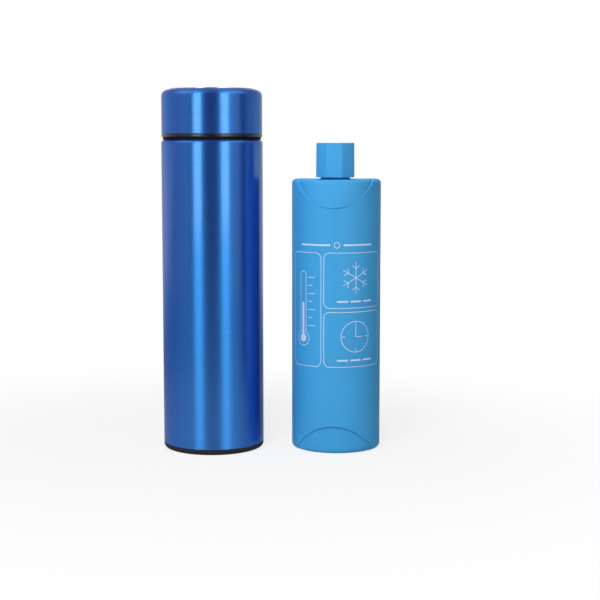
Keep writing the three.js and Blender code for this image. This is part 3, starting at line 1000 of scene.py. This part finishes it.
@dataclass(frozen=True)
class Thread:
    """Right-hand screw thread whose ends run out into the wall that carries it.

    It starts at the height of the middle of its first end.
    """

    form: ThreadForm
    radius: float
    start: float
    turns: float
    side: ThreadSide
    bite: float = 0.00025
    run_out: int = 9

    def add_to(self, mesh: BMesh) -> None:
        """Adds the ridge to a mesh.

        Args:
            mesh: Mesh of the wall.
        """
        form = self.form
        root = self.radius - self.side.value * self.bite
        tip = self.radius + self.side.value * form.depth
        section = [(root, -form.foot), (tip, -form.crest), (tip, form.crest), (root, form.foot)]
        ring = [mesh.verts.new((x, 0, self.start + z / 2)) for x, z in section]
        edges = [mesh.edges.new(pair) for pair in zip(ring, ring[1:] + ring[:1])]
        steps = round(SMALL_STEPS * self.turns)
        before = len(mesh.verts) - len(ring)
        last = bmesh.ops.spin(
            mesh,
            geom=ring + edges,
            cent=(0, 0, 0),
            axis=UP,
            dvec=UP * (form.pitch * self.turns / steps),
            angle=math.tau * self.turns,
            steps=steps,
        )["geom_last"]
        for end in (edges, picked(last, BMEdge)):
            bmesh.ops.contextual_create(mesh, geom=end)
        mesh.verts.ensure_lookup_table()
        for number, vert in enumerate(mesh.verts[before:]):
            turn = number // len(ring)
            self.sink(vert, min(turn, steps - turn) / self.run_out)
        bmesh.ops.recalc_face_normals(mesh, faces=mesh.faces[:])

    def sink(self, vert: BMVert, share: float) -> None:
        """Draws a vertex near an end of the ridge towards the wall.

        Args:
            vert: Vertex of the ridge.
            share: Its distance from the ridge's end, as a share of the run-out.
        """
        flat = vert.co.xy
        excess = (flat.length - self.radius) * self.side.value
        if excess > 0 and share < 1:
            kept = self.radius + self.side.value * excess * share
            vert.co.xy = flat.normalized() * kept


LID_THREAD = ThreadForm(pitch=0.0045, depth=0.00075, foot=0.0019, crest=0.001)
CAP_THREAD = ThreadForm(pitch=0.0032, depth=0.0009, foot=0.0015, crest=0.0008)


class SubAssembly(ABC):
    """Group of pieces that are built and dressed together."""

    @abstractmethod
    def build(self) -> list[Object]:
        """Builds the pieces.

        Returns:
            The new pieces, dressed and on their bodies.
        """

    def piece(self, name: str, mesh: BMesh, finish: Finish, body: Body, *nodes: str) -> Object:
        """Makes a piece of a finished mesh.

        Args:
            name: Piece's name.
            mesh: Its mesh, in place.
            finish: Its finish.
            body: Body that it moves with.
            nodes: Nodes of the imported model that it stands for.

        Returns:
            The dressed piece.
        """
        made = solid(name, mesh, finish.material())
        made.data.shade_smooth()
        made.data.set_sharp_from_angle(angle=SHARP_ANGLE)
        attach(made, body.value)
        if nodes:
            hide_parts(*nodes)
        faces = len(made.data.polygons)
        log.info("made %s, %d faces, for %s", name, faces, ", ".join(nodes) or "no node")
        return made

    def dress(self, finish: Finish, *nodes: str) -> None:
        """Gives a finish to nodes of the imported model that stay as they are."""
        for node in nodes:
            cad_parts[node].material_slots[0].material = finish.material()
            log.info("dressed %s in %s", node, finish.name)


@dataclass
class CaseBody(SubAssembly):
    """Vacuum-walled body with its foot and threaded neck."""

    shell_wall: float = 0.0006
    shoulder_rounding: float = 0.0022
    shoulder_hole: float = 0.03215
    shell_hem: float = 0.0003
    seat_gap: float = 0.0002
    foot_rounding: float = 0.003
    foot_lip: float = 0.0004
    spigot_radius: float = 0.0341
    liner_radius: float = 0.0319
    liner_wall: float = 0.0006
    liner_corner: float = 0.004
    lip_rounding: float = 0.0002
    neck_radius: float = 0.03195
    neck_taper: float = 0.004
    thread_height: float = 0.0042
    thread_turns: float = 1.25
    radius: float = field(init=False)
    bottom: float = field(init=False)
    shoulder: float = field(init=False)
    spigot_top: float = field(init=False)
    underside: float = field(init=False)
    lip: float = field(init=False)

    def __post_init__(self) -> None:
        """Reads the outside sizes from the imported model."""
        low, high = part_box("outer_shell")
        self.radius, self.bottom, self.shoulder = high.x, low.z, high.z
        self.spigot_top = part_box("base_pad")[1].z
        low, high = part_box("inner_liner")
        self.underside, self.lip = low.z, high.z

    def build(self) -> list[Object]:
        """Builds the wall, the foot and the liner, and dresses what is between them."""
        self.dress(BARE_STEEL, "shell_base_plate")
        self.dress(COPPER_FOIL, "reflective_foil")
        self.dress(SEAL_METAL, "getter_tablet", "vacuum_seal")
        return [
            self.piece("blue_body", self.shell(), BLUE_COAT, Body.CASE, "outer_shell"),
            self.piece("black_foot", self.foot(), BLACK_RUBBER, Body.CASE, "base_pad"),
            self.piece("steel_liner", self.liner(), BARE_STEEL, Body.CASE, "inner_liner"),
        ]

    def shell(self) -> BMesh:
        """Outer wall with a rounded shoulder and a hemmed lower edge."""
        inner = self.radius - self.shell_wall
        ceiling = self.shoulder - self.shell_wall
        return Turned(
            Corner(self.radius, self.bottom, self.shell_hem),
            Corner(self.radius, self.shoulder, self.shoulder_rounding),
            Corner(self.shoulder_hole, self.shoulder),
            Corner(self.shoulder_hole, ceiling),
            Corner(inner, ceiling, self.shoulder_rounding - self.shell_wall),
            Corner(inner, self.bottom),
        ).build()

    def foot(self) -> BMesh:
        """Foot with a rounded lower edge and the spigot that holds it in the wall."""
        top = self.bottom - self.seat_gap
        return Turned(
            Corner(0, 0),
            Corner(self.radius, 0, self.foot_rounding),
            Corner(self.radius, top, self.foot_lip),
            Corner(self.spigot_radius, top),
            Corner(self.spigot_radius, self.spigot_top),
            Corner(0, self.spigot_top),
        ).build()

    def liner(self) -> BMesh:
        """Cup that keeps the cold, with the threaded neck."""
        inner = self.liner_radius - self.liner_wall
        floor = self.underside + self.liner_wall
        neck = self.neck_radius - self.liner_wall
        taper_top = self.shoulder - self.shoulder_rounding - self.shell_wall
        taper_bottom = taper_top - self.neck_taper
        mesh = Turned(
            Corner(0, self.underside),
            Corner(self.liner_radius, self.underside, self.liner_corner),
            Corner(self.liner_radius, taper_bottom),
            Corner(self.neck_radius, taper_top),
            Corner(self.neck_radius, self.lip, self.lip_rounding),
            Corner(neck, self.lip, self.lip_rounding),
            Corner(neck, taper_top),
            Corner(inner, taper_bottom),
            Corner(inner, floor, self.liner_corner - self.liner_wall),
            Corner(0, floor),
        ).build()
        start = self.shoulder + self.thread_height
        Thread(LID_THREAD, self.neck_radius, start, self.thread_turns, ThreadSide.OUTSIDE).add_to(mesh)
        return mesh


@dataclass
class Lid(SubAssembly):
    """Screw lid with its dark ring, and the plate and window of the display in its top."""

    wall: float = 0.0006
    edge_width: float = 0.0055
    edge_flattened: float = 0.8
    hem: float = 0.0003
    ring_height: float = 0.0021
    step_height: float = 0.0016
    step_radius: float = 0.0338
    step_gap: float = 0.00005
    ring_rounding: float = 0.0004
    cup_radius: float = 0.03395
    cup_inner: float = 0.033
    cup_ceiling: float = 0.0016
    probe_hole: float = 0.0043
    thread_drop: float = 0.00195  # lid's lower edge to the middle of its thread's first end
    thread_turns: float = 1.0
    plate_hole: float = 0.026
    plate_edge: float = 0.00025
    plate_wall: float = 0.0006
    plate_skirt: float = 0.003
    window_seat: float = 0.02
    window_ledge: float = 0.0177
    window_edge: float = 0.00025
    seat_gap: float = 0.0002
    radius: float = field(init=False)
    bottom: float = field(init=False)
    top: float = field(init=False)
    ring_radius: float = field(init=False)
    cup_bottom: float = field(init=False)
    cup_top: float = field(init=False)
    plate_radius: float = field(init=False)
    plate_top: float = field(init=False)
    window_radius: float = field(init=False)
    window_bottom: float = field(init=False)
    window_top: float = field(init=False)

    def __post_init__(self) -> None:
        """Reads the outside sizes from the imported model."""
        low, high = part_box("lid_shell")
        self.radius, self.bottom, self.top = high.x, low.z, high.z
        low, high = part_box("lid_cup")
        self.ring_radius, self.cup_bottom, self.cup_top = high.x, low.z, high.z
        _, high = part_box("top_plate")
        self.plate_radius, self.plate_top = high.x, high.z
        low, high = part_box("display_window")
        self.window_radius, self.window_bottom, self.window_top = high.x, low.z, high.z

    def build(self) -> list[Object]:
        """Builds the wall, the cup, the plate and the window, and dresses what they hold."""
        self.dress(SILICONE, "lid_gasket", "probe_seal")
        self.dress(PALE_FOAM, "lid_foam")
        self.dress(PLATED_STEEL, "temperature_probe", "probe_nut", "coin_cell")
        self.dress(BARE_STEEL, "board_screw_1", "board_screw_2", "board_screw_3", "battery_clip")
        self.dress(BLACK_PLASTIC, "electronics_tray")
        self.dress(DISPLAY_GREY, "display_module")
        self.dress(BOARD_GREEN, "circuit_board")
        self.dress(LEAD_JACKET, "probe_lead")
        return [
            self.piece("blue_lid", self.shell(), BLUE_COAT, Body.LID, "lid_shell"),
            self.piece("black_ring", self.cup(), BLACK_PLASTIC, Body.LID, "lid_cup"),
            # Skirt's dark bluish colour is painted shade under the ring, with a painted reflection of the
            # blue shoulder.
            self.piece("shade_painted_skirt", self.skirt(), SHADE_PAINTED_BLACK, Body.LID),
            self.piece("silver_plate", self.plate(), PLATED_STEEL, Body.LID, "top_plate"),
            self.piece("black_window", self.window(), WINDOW, Body.LID, "display_window"),
        ]

    def shell(self) -> BMesh:
        """Lid wall with its wide rounded edge and the hole for the display."""
        inner = self.radius - self.wall
        ceiling = self.top - self.wall
        inner_width = self.edge_width - self.wall
        inner_share = (self.edge_width * self.edge_flattened - self.wall) / inner_width
        return Turned(
            Corner(self.radius, self.bottom, self.hem),
            Corner(self.radius, self.top, self.edge_width, self.edge_flattened),
            Corner(self.plate_hole, self.top),
            Corner(self.plate_hole, ceiling),
            Corner(inner, ceiling, inner_width, inner_share),
            Corner(inner, self.bottom),
        ).build()

    def cup(self) -> BMesh:
        """Threaded cup with the dark ring that shows under the wall."""
        step_top = self.cup_bottom + self.step_height
        ring_top = step_top + self.ring_height
        ceiling = self.cup_top - self.cup_ceiling
        mesh = Turned(
            Corner(self.probe_hole, ceiling),
            Corner(self.cup_inner, ceiling),
            Corner(self.cup_inner, step_top),
            Corner(self.ring_radius, step_top, self.ring_rounding),
            Corner(self.ring_radius, ring_top, self.ring_rounding),
            Corner(self.cup_radius, ring_top),
            Corner(self.cup_radius, self.cup_top),
            Corner(self.probe_hole, self.cup_top),
        ).build()
        start = self.cup_bottom + self.thread_drop - self.seat_gap
        Thread(LID_THREAD, self.cup_inner, start, self.thread_turns, ThreadSide.INSIDE).add_to(mesh)
        return mesh

    def skirt(self) -> BMesh:
        """Cup's narrow skirt between the ring and the case's shoulder."""
        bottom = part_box("outer_shell")[1].z + self.step_gap
        top = self.cup_bottom + self.step_height
        return Turned(
            Corner(self.cup_inner, bottom),
            Corner(self.step_radius, bottom),
            Corner(self.step_radius, top),
            Corner(self.cup_inner, top),
        ).build()

    def plate(self) -> BMesh:
        """Plate with a rounded rim, a skirt in the lid's hole and the sunk ledge under the window."""
        flange = self.top + self.seat_gap
        web = self.plate_top - self.plate_wall
        ledge = self.window_bottom - self.seat_gap
        skirt = self.plate_hole - self.seat_gap
        pan = self.window_seat + self.plate_wall
        return Turned(
            Corner(self.plate_radius, flange),
            Corner(self.plate_radius, self.plate_top, self.plate_edge),
            Corner(self.window_seat, self.plate_top, self.plate_edge),
            Corner(self.window_seat, ledge),
            Corner(self.window_ledge, ledge),
            Corner(self.window_ledge, ledge - self.plate_wall),
            Corner(pan, ledge - self.plate_wall),
            Corner(pan, web),
            Corner(skirt - self.plate_wall, web),
            Corner(skirt - self.plate_wall, web - self.plate_skirt),
            Corner(skirt, web - self.plate_skirt),
            Corner(skirt, flange),
        ).build()

    def window(self) -> BMesh:
        """Round window with a polished edge."""
        return Turned(
            Corner(0, self.window_bottom),
            Corner(self.window_radius, self.window_bottom),
            Corner(self.window_radius, self.window_top, self.window_edge),
            Corner(0, self.window_top),
        ).build()


@dataclass(frozen=True)
class ArchedField:
    """Moulded field at one end of the bottle's front, by its depth at the middle and at the sides."""

    middle: float
    side: float
    step: float

    def recess(self, share: float) -> float:
        """Depth of the field at a share of its half width."""
        return self.middle + (self.side - self.middle) * min(1.0, share**2)


@dataclass
class GelBottle(SubAssembly):
    """Blown gel bottle with a hollow back, arched fields at its front, a spout and a faceted cap."""

    axis_x: float = BOTTLE_PRINT.axis_x
    turn: float = BOTTLE_PRINT.turn
    front_radius: float = BOTTLE_PRINT.front_radius
    height: float = 0.1878
    back_radius: float = 0.0326
    back_depth: float = 0.006
    horn_radius: float = 0.0034
    rim_rounding: float = 0.0028
    rim_flat: float = 0.0003
    field_depth: float = 0.0195
    field_half_width: float = 0.0271
    top_field: ArchedField = ArchedField(middle=-0.0005, side=0.0011, step=0.0004)
    foot_field: ArchedField = ArchedField(middle=0.0014, side=0.00055, step=0.0009)
    front_steps: int = 150
    horn_steps: int = 14
    back_steps: int = 56
    spout_y: float = -0.01245
    spout_radius: float = 0.01
    spout_bore: float = 0.008
    spout_foot: float = 0.0006
    spout_sunk: float = 0.0004
    spout_lip: float = 0.0005
    spout_turns: float = 1.5
    thread_height: float = 0.0064
    cap_radius: float = 0.0139
    cap_draft: float = 0.0002
    cap_facets: int = 8
    cap_edge: float = 0.00045
    cap_rim: float = 0.0006
    cap_edge_steps: int = 3
    cap_bore: float = 0.0112
    cap_crown: float = 0.002
    cap_turns: float = 1.25
    spout_top: float = field(init=False)
    cap_bottom: float = field(init=False)
    cap_top: float = field(init=False)

    def __post_init__(self) -> None:
        """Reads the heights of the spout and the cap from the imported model."""
        self.spout_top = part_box("gel_bottle")[1].z
        low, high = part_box("bottle_cap")
        self.cap_bottom, self.cap_top = low.z, high.z

    def build(self) -> list[Object]:
        """Builds the bottle, its spout and its cap, and dresses what they hold."""
        self.dress(GEL, "gel_fill")
        self.dress(SILICONE, "cap_liner")
        return [
            self.piece("blue_bottle", self.bottle(), BOTTLE_PRINT, Body.BOTTLE, "gel_bottle"),
            self.piece("bottle_spout", self.spout(), BOTTLE_PLASTIC, Body.BOTTLE),
            self.piece("faceted_cap", self.cap(), BOTTLE_PLASTIC, Body.CAP, "bottle_cap"),
        ]

    def placed(self, mesh: BMesh, y: float = 0.0) -> BMesh:
        """Mesh moved from its own axis, which is at y on the bottle, to its place beside the case."""
        beside = Matrix.Translation((self.axis_x, 0, 0)) @ Matrix.Rotation(self.turn, 4, "Z")
        place = beside @ Matrix.Translation((0, y, 0))
        bmesh.ops.transform(mesh, matrix=place, verts=mesh.verts[:])
        return mesh

    def outline(self, mesh: BMesh) -> None:
        """Draws the section on the table: a round front, a hollow back and a rounded edge at each side.

        Args:
            mesh: Mesh to draw in.
        """
        reach = self.front_radius - self.horn_radius
        span = self.back_radius + self.horn_radius
        back_y = self.back_depth + self.back_radius
        horn_y = (reach**2 - span**2 + back_y**2) / (2 * back_y)
        horn_x = math.sqrt(reach**2 - horn_y**2)
        front_end = math.atan2(horn_y, horn_x)
        back_end = math.atan2(horn_y - back_y, horn_x)
        horn_turn = math.pi - front_end + back_end
        arcs = [
            ((0, 0), math.pi + 2 * front_end, self.front_steps),
            ((horn_x, horn_y), horn_turn, self.horn_steps),
            ((0, back_y), -math.pi - 2 * back_end, self.back_steps),
            ((-horn_x, horn_y), horn_turn, self.horn_steps),
        ]
        start = Vector((-math.cos(front_end), math.sin(front_end), 0)) * self.front_radius
        tip = mesh.verts.new(start)
        for centre, angle, steps in arcs:
            arc = bmesh.ops.spin(mesh, geom=[tip], cent=(*centre, 0), axis=UP, angle=angle, steps=steps)
            tip = arc["geom_last"][0]
        bmesh.ops.remove_doubles(mesh, verts=mesh.verts[:], dist=WELD)

    def bottle(self) -> BMesh:
        """Body on that outline with rounded rims and sunk fields."""
        mesh = bmesh.new()
        self.outline(mesh)
        base = bmesh.ops.contextual_create(mesh, geom=mesh.edges[:])["faces"]
        lifted(mesh, bmesh.ops.extrude_face_region(mesh, geom=base)["geom"], self.height)
        rims = {edge for face in mesh.faces if len(face.verts) > QUAD for edge in face.edges}
        rounded(mesh, list(rims), self.rim_rounding, ROUNDING_STEPS)
        bmesh.ops.recalc_face_normals(mesh, faces=mesh.faces[:])
        ends = [face for face in mesh.faces if len(face.verts) > QUAD]
        bmesh.ops.inset_region(mesh, faces=ends, thickness=self.rim_flat, use_even_offset=True)
        for end in BottleEnd:
            self.sink_field(mesh, end)
        return self.placed(welded(mesh))

    def sink_field(self, mesh: BMesh, end: BottleEnd) -> None:
        """Cuts the arch at one end of the front by two slanted planes and sinks what lies beyond them.

        Args:
            mesh: Mesh of the bottle.
            end: End of the front.
        """
        arch = self.top_field if end is BottleEnd.TOP else self.foot_field
        chord = math.sqrt(self.front_radius**2 - self.field_half_width**2)
        slope = self.field_depth / (self.front_radius - chord)
        normal = Vector((0, -slope, end.value)).normalized()
        middle = self.height / 2 + end.value * (self.height / 2 - self.field_depth)
        crown = Vector((0, -self.front_radius, middle))
        sunk = crown + UP * (end.value * arch.step)
        for rise in (-GUARD, 0.0, arch.step, arch.step + GUARD):
            parts = mesh.verts[:] + mesh.edges[:] + mesh.faces[:]
            place = crown + UP * (end.value * rise)
            bmesh.ops.bisect_plane(mesh, geom=parts, dist=WELD, plane_co=place, plane_no=normal)
        for vert in mesh.verts:
            if (vert.co - sunk).dot(normal) > -WELD:
                recess = arch.recess(vert.co.x / self.field_half_width)
                vert.co.xy *= 1 - recess / self.front_radius

    def spout(self) -> BMesh:
        """Threaded spout with a flared foot."""
        bottom = self.height - self.spout_sunk
        mesh = Turned(
            Corner(self.spout_bore, bottom),
            Corner(self.spout_radius + self.spout_foot, bottom),
            Corner(self.spout_radius + self.spout_foot, self.height),
            Corner(self.spout_radius, self.height + self.spout_foot),
            Corner(self.spout_radius, self.spout_top, self.spout_lip),
            Corner(self.spout_bore, self.spout_top, self.spout_lip),
            steps=SMALL_STEPS,
        ).build()
        start = self.cap_bottom + self.thread_height
        Thread(CAP_THREAD, self.spout_radius, start, self.spout_turns, ThreadSide.OUTSIDE).add_to(mesh)
        return self.placed(mesh, self.spout_y)

    def cap(self) -> BMesh:
        """Faceted cap with softened edges and a threaded bore."""
        mesh = bmesh.new()
        half_facet = Matrix.Rotation(math.pi / self.cap_facets, 4, "Z")
        place = Matrix.Translation((0, 0, self.cap_bottom)) @ half_facet
        sizes = {"segments": self.cap_facets, "radius": self.cap_radius}
        bmesh.ops.create_circle(mesh, cap_ends=True, matrix=place, **sizes)
        parts = bmesh.ops.extrude_face_region(mesh, geom=mesh.faces[:])["geom"]
        top = lifted(mesh, parts, self.cap_top - self.cap_bottom)
        share = 1 - self.cap_draft / self.cap_radius
        bmesh.ops.scale(mesh, vec=(share, share, 1), verts=top)
        upright = [edge for edge in mesh.edges if abs(edge.verts[0].co.z - edge.verts[1].co.z) > WELD]
        rounded(mesh, upright, self.cap_edge, self.cap_edge_steps)
        brim = self.cap_top - WELD
        rim = [edge for edge in mesh.edges if min(vert.co.z for vert in edge.verts) > brim]
        rounded(mesh, rim, self.cap_rim, self.cap_edge_steps)
        self.hollow_out(mesh)
        start = self.cap_bottom + self.thread_height - CAP_THREAD.pitch / 2
        Thread(CAP_THREAD, self.cap_bore, start, self.cap_turns, ThreadSide.INSIDE).add_to(mesh)
        return self.placed(mesh, self.spout_y)

    def hollow_out(self, mesh: BMesh) -> None:
        """Opens the cap from below and gives it a round bore.

        Args:
            mesh: Closed mesh of the cap.
        """
        edge_height = self.cap_bottom + WELD
        under = [face for face in mesh.faces if max(vert.co.z for vert in face.verts) < edge_height]
        rim = [edge for face in under for edge in face.edges]
        bmesh.ops.delete(mesh, geom=under, context="FACES_ONLY")
        sizes = {"segments": SMALL_STEPS, "radius": self.cap_bore}
        level = Matrix.Translation((0, 0, self.cap_bottom))
        bore = bmesh.ops.create_circle(mesh, matrix=level, **sizes)["verts"]
        mouth = list({edge for vert in bore for edge in vert.link_edges})
        bmesh.ops.triangle_fill(mesh, edges=rim + mouth, use_beauty=True, normal=-UP)
        walls = bmesh.ops.extrude_edge_only(mesh, edges=mouth)["geom"]
        lifted(mesh, walls, self.cap_top - self.cap_crown - self.cap_bottom)
        bmesh.ops.contextual_create(mesh, geom=picked(walls, BMEdge))
        welded(mesh)


@dataclass(frozen=True)
class Softbox:
    """Studio lamp that faces the object.

    Its way from the object is its azimuth, from the front towards the right, and its elevation above the
    table, both in degrees. Its size is its width and height.
    """

    name: str
    use: LampUse
    way: Point
    size: Point
    radiance: float
    distance: float = 1.0
    aim_height: float = 0.12
    colour: tuple[float, float, float] = (1.0, 1.0, 1.0)

    def build(self) -> None:
        """Hangs the lamp."""
        azimuth, elevation = (math.radians(angle) for angle in self.way)
        level = Vector((math.sin(azimuth), -math.cos(azimuth), 0)) * math.cos(elevation)
        way = level + UP * math.sin(elevation)
        data = bpy.data.lights.new(self.name, "AREA")
        data.shape = "RECTANGLE"
        data.size, data.size_y = self.size
        data.energy = self.radiance * math.pi * math.prod(self.size)
        data.color = self.colour
        lamp = added(self.name, data)
        lamp.location = way * self.distance + UP * self.aim_height
        lamp.rotation_mode = "QUATERNION"
        lamp.rotation_quaternion = way.to_track_quat("Z", "Y")
        lamp.visible_glossy, lamp.visible_diffuse = self.use.value
        log.info("hung %s", self.name)


STRIP = {"use": LampUse.GLOSS, "size": (0.33, 0.82), "radiance": 5.2, "aim_height": 0.5}
FILL = {"use": LampUse.GLOSS, "aim_height": 0.9}
HIGH = {"use": LampUse.GLOSS, "size": (0.8, 0.5), "radiance": 1.5, "distance": 1.2}
LAMPS = (
    Softbox("left_strip", way=(-30.0, 0.0), **STRIP),
    Softbox("right_strip", way=(31.8, 0.0), **STRIP),
    Softbox(
        "left_fill", way=(-92.0, 0.0), size=(1.9, 1.8), radiance=0.5, colour=(1.0, 0.95, 1.12), **FILL
    ),
    Softbox(
        "right_fill", way=(56.0, 0.0), size=(0.45, 1.8), radiance=0.68, colour=(1.0, 0.93, 1.06), **FILL
    ),
    Softbox(
        "right_back", way=(108.0, 0.0), size=(0.85, 1.8), radiance=0.38, colour=(1.0, 0.93, 1.0), **FILL
    ),
    Softbox("left_top", way=(-80.0, 50.0), **HIGH),
    Softbox("right_top", way=(76.0, 50.0), **HIGH),
    Softbox("top_card", LampUse.GLOSS, (0.0, 88.0), (1.2, 1.2), radiance=0.6, distance=1.2),
    Softbox("front_key", LampUse.MATT, (-12.0, 46.0), (0.6, 0.4), radiance=18.9, distance=1.3),
    Softbox("top_light", LampUse.MATT, (0.0, 88.0), (1.0, 1.0), radiance=3.0, distance=1.2),
)


@dataclass
class Studio:
    """Pale floor, soft lamps and the camera at the photograph's angle."""

    camera_place: tuple[float, float, float] = (0.0526, -0.9721, 0.2143)
    camera_pitch: float = math.radians(6.52)
    camera_yaw: float = math.radians(-0.48)
    lens: float = 83.9
    sensor: float = 36.0
    floor_size: float = 40.0
    floor_colour: Colour = (0.7, 0.7, 0.7, 1.0)
    mirrored_floor: Colour = (0.11, 0.08, 0.14, 1.0)
    floor_behind: Point = (0.0, 1.2)
    mirrored_reach: Point = (0.12, 0.5)
    shadow_share: float = 0.21
    shadow_reach: Point = (0.1, 0.4)
    room_light: float = 0.1
    mirrored_room: Colour = (0.55, 0.42, 0.75, 1.0)
    backdrop_edge: Point = (0.45, 1.0)
    lamps: tuple[Softbox, ...] = LAMPS

    def build(self) -> None:
        """Sets the stage."""
        scene = bpy.context.scene
        scene.view_settings.view_transform = "Standard"
        self.room()
        self.floor()
        for lamp in self.lamps:
            lamp.build()
        scene.camera = self.camera()

    def camera(self) -> Object:
        """Camera at the photograph's angle.

        Returns:
            The camera.
        """
        data = bpy.data.cameras.new("camera")
        data.lens = self.lens
        data.sensor_width = self.sensor
        made = added("camera", data)
        made.location = self.camera_place
        made.rotation_euler = (math.pi / 2 - self.camera_pitch, 0, self.camera_yaw)
        return made

    def shows(self, wiring: Wiring) -> tuple[NodeSocket, NodeSocket]:
        """Kinds of ray that see the white background.

        Args:
            wiring: Nodes of the floor or the world.

        Returns:
            Whether the camera sees it, and whether gloss or glass does.
        """
        seen = wiring.node("ShaderNodeLightPath").outputs
        mirrored = wiring.math("MAXIMUM", seen["Is Glossy Ray"], seen["Is Transmission Ray"])
        return seen["Is Camera Ray"], mirrored

    def room(self) -> None:
        """World: white to the camera, white behind the object in gloss, and a dim room otherwise."""
        world = bpy.data.worlds.new("studio_room")
        bpy.context.scene.world = world
        wiring = emptied(world)
        dim, white = (wiring.node("ShaderNodeBackground") for _ in range(2))
        way = wiring.node("ShaderNodeTexCoord").outputs["Generated"]
        behind = wiring.rising(wiring.parts(way)[1], self.backdrop_edge)
        camera, mirrored = self.shows(wiring)
        tint = wiring.mixed(mirrored, WHITE, self.mirrored_room)
        wiring.feed(dim, {"Color": tint, "Strength": self.room_light})
        wiring.feed(white, {"Color": WHITE})
        share = wiring.math("MAXIMUM", camera, wiring.math("MULTIPLY", mirrored, behind))
        result = wiring.blended(share, dim.outputs["Background"], white.outputs["Background"])
        wiring.feed(wiring.node("ShaderNodeOutputWorld"), {"Surface": result})

    def floor(self) -> None:
        """Wide pale floor that keeps the object's shadow and runs out to white."""
        mesh = bmesh.new()
        bmesh.ops.create_grid(mesh, x_segments=1, y_segments=1, size=self.floor_size / 2)
        solid("floor", mesh, self.floor_finish())

    def floor_finish(self) -> Material:
        """Pale matt floor that shows white, less the shadow near the object.

        Returns:
            The floor's material.
        """
        material = bpy.data.materials.new("pale_floor")
        wiring = emptied(material)
        matt = wiring.node("ShaderNodeBsdfDiffuse")
        glow = wiring.node("ShaderNodeEmission")
        place = wiring.coordinates()
        distance = wiring.vector("LENGTH", place, output="Value")
        camera, mirrored = self.shows(wiring)
        dimmed = wiring.math("MULTIPLY", mirrored, wiring.rising(distance, self.mirrored_reach))
        wiring.feed(matt, {"Color": wiring.mixed(dimmed, self.floor_colour, self.mirrored_floor)})
        white = wiring.rising(distance, self.shadow_reach, 1.0 - self.shadow_share)
        backdrop = wiring.rising(wiring.parts(place)[1], self.floor_behind)
        behind = wiring.math("MULTIPLY", mirrored, backdrop)
        share = wiring.math("MULTIPLY", wiring.math("MAXIMUM", camera, behind), white)
        result = wiring.blended(share, matt.outputs["BSDF"], glow.outputs["Emission"])
        wiring.feed(wiring.node("ShaderNodeOutputMaterial"), {"Surface": result})
        return material


def main() -> None:
    """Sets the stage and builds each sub-assembly."""
    logging.basicConfig(level=logging.INFO, format="%(message)s")
    Studio().build()
    for assembly in (CaseBody(), Lid(), GelBottle()):
        pieces = assembly.build()
        log.info("%s: %d pieces", type(assembly).__name__, len(pieces))


if __name__ == "__main__":
    main()
